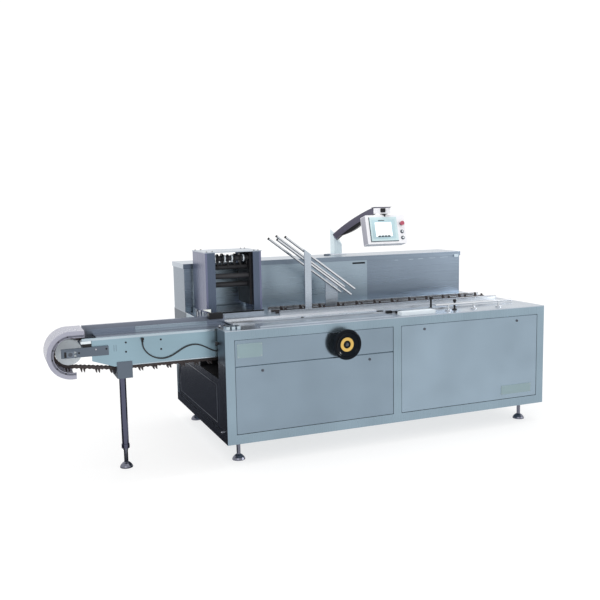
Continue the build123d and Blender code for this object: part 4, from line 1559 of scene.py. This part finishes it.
@dataclass
class CartonLine:
    """Dress of the magazine, the carton track and the front of the table."""

    cluster: tuple[tuple[float, float, float, float], ...] = (
        (0.014, 0.148, 0.009, 0.018),
        (0.034, 0.122, 0.007, 0.022),
        (0.053, 0.100, 0.010, 0.014),
        (0.046, 0.150, 0.008, 0.018),
        (0.074, 0.082, 0.008, 0.016),
    )
    stem_steps: int = 20
    head_steps: int = 24
    posts: tuple[Place, ...] = ((1.628, 0.265, 0.085), (1.738, 0.128, 0.075))
    post_foot: float = 0.018
    post_stem: float = 0.007
    post_head: float = 0.012
    knob_place: Point = (0.626, 0.266)
    knob: tuple[Point, ...] = (
        (0.0, -0.001),
        (0.009, -0.001),
        (0.011, 0.008),
        (0.007, 0.012),
        (0.0, 0.012),
    )
    stops: tuple[Point, ...] = ((1.205, 0.250), (1.255, 0.215), (1.310, 0.175))
    stop_size: Place = (0.040, 0.030, 0.016)
    slide_x: Point = (0.125, 1.250)
    slide_y: Point = (0.226, 0.394)
    slide_height: float = 0.002
    rod_top: Point = (0.573, 1.385)
    rod_slope: float = 36.5
    rod_length: float = 0.700
    rod_side: float = 0.015
    rod_levels: tuple[Point, ...] = ((0.0, 0.0), (0.049, 0.040))
    rod_front: float = 0.555
    rod_spread: float = 0.175
    shade_share: float = 0.34
    shade_skin: float = 0.0006
    strips: tuple[tuple[Point, Point], ...] = (
        ((0.12, 0.215), (2.30, 0.225)),
        ((0.12, 0.395), (2.30, 0.405)),
    )
    strip_height: float = 0.012

    def build(self) -> None:
        """Dress the line."""
        dress_nodes(
            {
                "magazine_rails": FINISH.bright,
                "magazine_end_caps": FINISH.black,
                "magazine_saddles": FINISH.table,
                "carton_track_rails": FINISH.bright,
                "carton_chains": FINISH.chain,
                "pusher_cover": FINISH.table,
                "pusher_heads": FINISH.rail_light,
                "side_guide": FINISH.bright,
                "guide_bar": FINISH.white,
            }
        )
        table = top_of("table_top")
        self.build_cluster(table)
        self.build_posts(table)
        self.build_strips(table)
        self.build_stops(table)
        self.build_rod_painted_shade()

    def build_stops(self, table: float) -> None:
        """Small dark stops on the table, and the bright slide between the strips, bright partly as a
        painted highlight along the table.

        Args:
            table: Height of the table.
        """
        length, depth, height = self.stop_size
        shape = bmesh.new()
        for x, y in self.stops:
            low = ZERO.at(x - length / 2, y - depth / 2, table)
            Workshop.slab(low, ZERO.at(x + length / 2, y + depth / 2, table + height), shape)
        Workshop.finish("table_stops", shape, FINISH.black, MACHINE, SOFT_EDGE)
        low = (self.slide_x[0], self.slide_y[0], table)
        high = (self.slide_x[1], self.slide_y[1], table + self.slide_height)
        Workshop.plate("table_slide_and_highlight", low, high, FINISH.slide)

    def build_rod_painted_shade(self) -> None:
        """Painted shade: dark strip along the lower edge of each magazine rod's near face."""
        slope = radians(self.rod_slope)
        along = Vector((cos(slope), 0.0, -sin(slope)))
        normal = Vector((sin(slope), 0.0, cos(slope)))
        rise = normal * (self.rod_side * self.shade_share)
        shape = bmesh.new()
        for level, start in self.rod_levels:
            for y in (self.rod_front, self.rod_front + self.rod_spread):
                face = y - self.rod_side / 2 - self.shade_skin
                corner = ZERO.at(self.rod_top[0], face, self.rod_top[1])
                corner += along * start + normal * (level - self.rod_side)
                outline = rectangle(corner, along * (self.rod_length - start), rise)
                Workshop.prism(outline, -FRONT * self.shade_skin, shape)
        Workshop.finish("magazine_rod_painted_shade", shape, FINISH.lock, MACHINE)

    def build_cluster(self, table: float) -> None:
        """Knobs of different heights at the table's left front corner.

        Args:
            table: Height of the table.
        """
        black = bmesh.new()
        bright = bmesh.new()
        for index, (x, y, radius, height) in enumerate(self.cluster):
            centre = ZERO.at(x, y, table)
            stem_in, head_in = (bright, black) if index % 2 else (black, bright)
            head = (
                (0.0, height * 0.45),
                (radius * 0.8, height * 0.45),
                (radius, height * 0.6),
                (radius * 0.9, height * 0.9),
                (radius * 0.5, height),
                (0.0, height),
            )
            stem = disc_profile(radius * 0.5, height * 0.5)
            Workshop.lathe(stem, centre, UP, self.stem_steps, stem_in)
            Workshop.lathe(head, centre, UP, self.head_steps, head_in)
        Workshop.finish("cluster_black", black, FINISH.black, MACHINE)
        Workshop.finish("cluster_bright", bright, FINISH.chrome, MACHINE)

    def build_posts(self, table: float) -> None:
        """Dark turned posts and a small knob on the table.

        Args:
            table: Height of the table.
        """
        foot, stem, head = self.post_foot, self.post_stem, self.post_head
        shape = bmesh.new()
        for x, y, height in self.posts:
            profile = (
                (0.0, -0.001),
                (foot, -0.001),
                (foot, 0.006),
                (stem, 0.010),
                (stem, height - 0.02),
                (head, height - 0.016),
                (head, height - 0.003),
                (head * 0.75, height),
                (0.0, height),
            )
            Workshop.lathe(profile, ZERO.at(x, y, table), UP, self.head_steps, shape)
        Workshop.lathe(self.knob, ZERO.at(*self.knob_place, table), UP, self.head_steps, shape)
        Workshop.finish("table_posts", shape, FINISH.black, MACHINE)

    def build_strips(self, table: float) -> None:
        """Long low strips that carry the infeed line across the table.

        Args:
            table: Height of the table.
        """
        shape = bmesh.new()
        for low, high in self.strips:
            Workshop.slab(ZERO.at(*low, table), ZERO.at(*high, table + self.strip_height), shape)
        Workshop.finish("table_strips", shape, FINISH.bright, MACHINE, BLOCK_EDGE)


@dataclass
class RearBox:
    """Dress of the long box along the back of the table."""

    slot_x: Point = (1.35, 1.46)
    slot_z: Point = (1.147, 1.160)
    left_face_x: Point = (0.0, 1.478)
    left_face_z: Point = (0.861, 1.174)
    clips: tuple[Place, ...] = (
        (1.730, 1.758, 1.1600),
        (1.860, 1.897, 1.1600),
        (1.944, 1.991, 1.1615),
        (2.052, 2.105, 1.1635),
        (2.153, 2.230, 1.1655),
    )
    clip_height: float = 0.0025
    latch_x: Point = (2.284, 2.325)
    latch_z: Point = (1.165, 1.188)
    latch_proud: float = 0.010
    skin: float = 0.001
    disc_place: Point = (1.222, 1.165)
    disc_radius: float = 0.027
    disc_height: float = 0.012
    disc_steps: int = 40
    pad_x: Point = (1.285, 1.412)
    pad_y: Point = (1.195, 1.305)
    pad_height: float = 0.007

    def build(self) -> None:
        """Dress the rear box."""
        dress_nodes({"rear_box": FINISH.rear_face, "rear_box_cover": FINISH.table})
        face = front_of("rear_box")
        low = (self.left_face_x[0], face - self.skin, self.left_face_z[0])
        high = (self.left_face_x[1], face, self.left_face_z[1])
        Workshop.plate("rear_left_face", low, high, FINISH.rear_left)
        # Painted shade: a near-black strip on the face where the slot lies.
        low = (self.slot_x[0], face - 2 * self.skin, self.slot_z[0])
        Workshop.plate("slot_painted_shade", low, (self.slot_x[1], face, self.slot_z[1]), FINISH.gap)
        self.build_cover_edge()
        self.build_clips(face)
        self.build_post_foot()

    def build_cover_edge(self) -> None:
        """Skin on the cover's front edge, in the finish of the face below it."""
        low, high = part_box("rear_box_cover")
        start = Vector((low[0], low[1] - self.skin, low[2]))
        finish = Vector((high[0], low[1], high[2] - self.skin))
        Workshop.finish("cover_edge", Workshop.slab(start, finish), FINISH.rear_face, MACHINE, SHEET_EDGE)

    def build_clips(self, face: float) -> None:
        """Row of thin bright clips on the face, and the latch at its right end.

        Args:
            face: Y of the box's face in the setting-out.
        """
        shape = bmesh.new()
        for left, right, z in self.clips:
            low = ZERO.at(left, face - self.skin, z)
            Workshop.slab(low, ZERO.at(right, face, z + self.clip_height), shape)
        low = ZERO.at(self.latch_x[0], face - self.latch_proud, self.latch_z[0])
        Workshop.slab(low, ZERO.at(self.latch_x[1], face, self.latch_z[1]), shape)
        Workshop.finish("face_clips", shape, FINISH.rail_light, MACHINE, LINE_EDGE)

    def build_post_foot(self) -> None:
        """White pad under the post and the grey disc beside it."""
        top = top_of("rear_box_cover")
        low = (self.pad_x[0], self.pad_y[0], top)
        high = (self.pad_x[1], self.pad_y[1], top + self.pad_height)
        Workshop.plate("post_pad", low, high, FINISH.slide, BLOCK_EDGE)
        radius, height = self.disc_radius, self.disc_height
        disc = (
            (0.0, -0.0005),
            (radius, -0.0005),
            (radius, height * 0.7),
            (radius * 0.9, height),
            (0.0, height),
        )
        shape = Workshop.lathe(disc, ZERO.at(*self.disc_place, top), UP, self.disc_steps)
        Workshop.finish("cover_disc", shape, FINISH.bar, MACHINE)


@dataclass
class ControlPanel:
    """Arm, box, screen and buttons of the swivelling control panel."""

    tilt: float = 14.5
    screen_inset: float = 0.022
    bezel_thickness: float = 0.003
    ring_radius: float = 0.0155
    ring_bore: float = 0.0112
    ring_height: float = 0.004
    button_rows: Point = (-0.022, -0.072)
    button_proud: float = 0.008
    highlight_radius: float = 0.0075
    button_steps: int = 36
    stop_row: float = 0.042
    collar_bore: float = 0.0105
    collar_radius: float = 0.0150
    collar_height: float = 0.009
    line_width: float = 0.006
    line_proud: float = 0.0006
    display_sunk: float = 0.0013
    display_depth: float = 0.0016
    glow_inset: float = 0.050
    glow_share: float = 0.7
    glow_depth: float = 0.0020
    key_count: int = 4
    key_size: Point = (0.025, 0.014)
    key_gap: float = 0.003
    key_rise: float = 0.014
    top_shade_size: Point = (0.055, 0.007)
    mark_depth: float = 0.0026
    side_inset: float = 0.006
    side_skin: float = 0.0006
    arm_turn: float = 47.8
    arm_reach: float = 0.412
    arm_start: float = 40.0
    arm_finish: float = 23.0
    arm_half_height: float = 0.025
    arm_half_width: float = 0.030
    shade_from: float = 0.10
    shade_span: float = 0.72
    shade_steps: int = 16
    shade_sunk: float = 0.006
    shade_gap: float = 0.001
    shade_belly: float = 0.030
    shade_half_width: float = 0.0255
    end_back: float = 0.074
    end_front: float = 0.045
    end_skin: float = 0.0015
    end_drop: float = 0.005
    cap_overhang: Point = (0.020, 0.012)
    cap_height: float = 0.004
    lever_along: Point = (-0.014, 0.026)
    lever_proud: float = 0.010
    lever_z: Point = (1.546, 1.578)

    def build(self) -> None:
        """Dress the panel and its arm."""
        dress_nodes(
            {
                "panel_post": FINISH.post,
                "panel_arm": FINISH.arm,
                # The liner is black plastic as painted shade inside the arm's hollow underside.
                "arm_liner": FINISH.black,
                "swivel_seat": FINISH.black,
                "panel_box": FINISH.panel_paint,
                "panel_screen": FINISH.bezel,
                "emergency_stop": FINISH.red,
                "panel_buttons": FINISH.black,
                "panel_swivel": FINISH.black,
            }
        )
        self.build_screen()
        self.build_bezel_shade()
        self.build_side_shade()
        self.build_button_rings()
        self.build_arm_end()
        self.build_arm_underside_shade()

    def arm_frame(self) -> tuple[Vector, Vector, Vector]:
        """Where the arm turns and how it lies.

        Returns:
            The swivel's centre on the floor, the arm's direction and its near side's.
        """
        low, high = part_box("swivel_seat")
        turn = radians(self.arm_turn)
        pivot = Vector(((low[0] + high[0]) / 2, (low[1] + high[1]) / 2, 0.0))
        along = Vector((cos(turn), -sin(turn), 0.0))
        outward = Vector((-sin(turn), -cos(turn), 0.0))
        return pivot, along, outward

    def facing(self) -> tuple[Vector, Vector, Vector]:
        """Right, up and outward directions of the panel's face."""
        tilt = radians(self.tilt)
        return RIGHT, Vector((0, sin(tilt), cos(tilt))), Vector((0, -cos(tilt), sin(tilt)))

    def face_middle(self) -> Vector:
        """Middle of the screen's frame."""
        low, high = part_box("panel_screen")
        return (Vector(low) + Vector(high)) / 2

    def face_size(self) -> Point:
        """Size of the screen's frame, along its own tilted face.

        Returns:
            Its width and height.
        """
        low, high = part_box("panel_screen")
        tilt = radians(self.tilt)
        height = (high[2] - low[2] - self.bezel_thickness * sin(tilt)) / cos(tilt)
        return high[0] - low[0], height

    def build_arm_underside_shade(self) -> None:
        """Painted shade: flat black strip that follows the arm's hollow underside, deepest at its middle.
        """
        pivot, along, outward = self.arm_frame()
        level_s = self.arm_reach - self.end_back - self.shade_gap
        steep, shallow = radians(self.arm_start), radians(self.arm_finish)
        radius = level_s / (sin(steep) - sin(shallow))
        centre_s = level_s + radius * sin(shallow)
        centre_z = top_of("swivel_seat") + self.arm_half_height - radius * cos(shallow)
        upper = []
        lower = []
        for step in range(self.shade_steps + 1):
            share = step / self.shade_steps
            angle = steep + (shallow - steep) * (self.shade_from + share * self.shade_span)
            belly = self.shade_belly * sin(pi * share)
            rows = (
                (upper, self.arm_half_height - self.shade_sunk),
                (lower, self.arm_half_height + belly),
            )
            for row, reach in rows:
                s = centre_s - (radius - reach) * sin(angle) - self.arm_reach
                spot = pivot + along * s - outward * self.shade_half_width
                row.append(Vector((spot.x, spot.y, centre_z + (radius - reach) * cos(angle))))
        shape = Workshop.prism(upper + lower[::-1], outward * 2 * self.shade_half_width)
        Workshop.finish("arm_underside_shade", shape, FINISH.black, MACHINE)

    def build_bezel_shade(self) -> None:
        """Painted shade: dark lines along the left and the bottom of the screen's frame."""
        right, up, outward = self.facing()
        width, height = self.face_size()
        middle = self.face_middle() - outward * (self.bezel_thickness / 2)
        corner = middle - right * (width / 2) - up * (height / 2)
        depth = outward * (self.bezel_thickness + self.line_proud)
        shape = bmesh.new()
        for along, across in ((up * height, right), (right * width, up)):
            Workshop.prism(rectangle(corner, along, across * self.line_width), depth, shape)
        Workshop.finish("bezel_shade_lines", shape, FINISH.dark_mark, PANEL, LINE_EDGE)

    def build_side_shade(self) -> None:
        """Painted shade: lilac-grey skin on the white panel box's left side."""
        _, up, outward = self.facing()
        low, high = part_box("panel_box")
        middle = (Vector(low) + Vector(high)) / 2
        tilt = radians(self.tilt)
        reach_y = high[1] - low[1]
        reach_z = high[2] - low[2]
        spread = cos(tilt) ** 2 - sin(tilt) ** 2
        depth = (reach_y * cos(tilt) - reach_z * sin(tilt)) / spread - 2 * self.side_inset
        height = (reach_z * cos(tilt) - reach_y * sin(tilt)) / spread - 2 * self.side_inset
        middle.x = low[0] - self.side_skin
        corners = centred_rectangle(middle, outward * depth, up * height)
        shape = Workshop.prism(corners, RIGHT * (2 * self.side_skin))
        Workshop.finish("panel_side_shade_skin", shape, FINISH.panel_side, PANEL)

    def build_button_rings(self) -> None:
        """Dark rings and bright caps on the push buttons, the caps as painted highlight, and a dark
        collar on the stop.
        """
        _, up, outward = self.facing()
        low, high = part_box("panel_buttons")
        column = self.face_middle() - outward * (self.bezel_thickness / 2)
        column.x = (low[0] + high[0]) / 2
        ring = ring_profile(self.ring_bore, self.ring_radius, self.ring_height, crown=0.95)
        radius, face = self.highlight_radius, self.button_proud
        cap = ((0.0, face), (radius, face), (radius * 0.85, face + 0.001), (0.0, face + 0.0013))
        rings = bmesh.new()
        highlight_caps = bmesh.new()
        for row in self.button_rows:
            centre = column + up * row
            Workshop.lathe(ring, centre, outward, self.button_steps, rings)
            Workshop.lathe(cap, centre, outward, self.button_steps, highlight_caps)
        Workshop.finish("button_rings", rings, FINISH.bar, PANEL)
        Workshop.finish("button_highlight_caps", highlight_caps, FINISH.white, PANEL)
        collar = ring_profile(self.collar_bore, self.collar_radius, self.collar_height, crown=0.9)
        shape = Workshop.lathe(collar, column + up * self.stop_row, outward, self.button_steps)
        Workshop.finish("stop_collar", shape, FINISH.plum, PANEL)

    def arm_block(
        self, name: str, ends: Point, sides: Point, levels: Point, finish: Finish, edge: float
    ) -> None:
        """A block on the arm, in the arm's own directions.

        Args:
            name: Name of the piece.
            ends: Where it starts and ends along the arm, from the swivel.
            sides: Where it starts and ends towards the near side.
            levels: Its lowest and highest level.
            finish: Its surface.
            edge: Width of the edge rounding, in metres.
        """
        pivot, along, outward = self.arm_frame()
        corner = pivot + along * ends[0] + outward * sides[0] + UP * levels[0]
        base = rectangle(corner, along * (ends[1] - ends[0]), outward * (sides[1] - sides[0]))
        shape = Workshop.prism(base, UP * (levels[1] - levels[0]))
        Workshop.finish(name, shape, finish, MACHINE, edge)

    def build_arm_end(self) -> None:
        """White cover, dark cap and black lever on the arm's level end."""
        top = top_of("panel_arm")
        levels = (top_of("swivel_seat"), top - self.end_drop)
        half, skin, front = self.arm_half_width, self.end_skin, self.end_front
        near = half + skin
        white = FINISH.panel_paint
        self.arm_block("arm_cover", (-self.end_back, front), (half, near), levels, white, SHEET_EDGE)
        self.arm_block("arm_end_skin", (front, front + skin), (-half, near), levels, white, SHEET_EDGE)
        behind, ahead = self.cap_overhang
        ends = (-self.end_back - behind, front + ahead)
        levels = (top, top + self.cap_height)
        self.arm_block("arm_cap", ends, (-half, near + skin), levels, FINISH.arm, CAP_EDGE)
        sides = (near, half + self.lever_proud)
        self.arm_block("arm_lever", self.lever_along, sides, self.lever_z, FINISH.black, SOFT_EDGE)

    def build_screen(self) -> None:
        """Glowing display with its dark keys and a dark bar of painted shade near its top, inside the
        bezel.
        """
        right, up, outward = self.facing()
        width, height = (side - 2 * self.screen_inset for side in self.face_size())
        middle = self.face_middle() - outward * self.display_sunk
        corners = centred_rectangle(middle, right * width, up * height)
        shape = Workshop.prism(corners, outward * self.display_depth)
        Workshop.finish("screen_display", shape, FINISH.screen, PANEL, SHEET_EDGE)
        inset = 2 * (self.glow_inset - self.screen_inset)
        glow_height = height - inset * self.glow_share
        corners = centred_rectangle(middle, right * (width - inset), up * glow_height)
        shape = Workshop.prism(corners, outward * self.glow_depth)
        Workshop.finish("screen_glow_field", shape, FINISH.glow, PANEL, SHEET_EDGE)
        depth = outward * self.mark_depth
        key_width, key_height = self.key_size
        step = key_width + self.key_gap
        first = middle - right * (step * self.key_count / 2) - up * (height / 2 - self.key_rise)
        marks = bmesh.new()
        for index in range(self.key_count):
            start = first + right * (index * step)
            Workshop.prism(rectangle(start, right * key_width, up * key_height), depth, marks)
        # Painted shade: a dark bar near the display's top edge.
        wide, tall = self.top_shade_size
        start = middle - right * (wide * 0.75) + up * (height / 2 - tall * 1.3)
        Workshop.prism(rectangle(start, right * wide, up * tall), depth, marks)
        Workshop.finish("screen_keys_and_shade", marks, FINISH.dark_mark, PANEL, MARK_EDGE)


def main() -> None:
    """Dress the machine, one sub-assembly after another."""
    logging.basicConfig(level=logging.INFO, format="%(name)s: %(message)s")
    builders: list[Callable[[], None]] = [
        Studio().build,
        SensorCable().build,
        Cabinet().build,
        Handwheel().build,
        LugChain().build,
        InfeedConveyor().build,
        FoldingUnit().build,
        CartonLine().build,
        RearBox().build,
        ControlPanel().build,
    ]
    for build in builders:
        build()


if __name__ == "__main__":
    main()
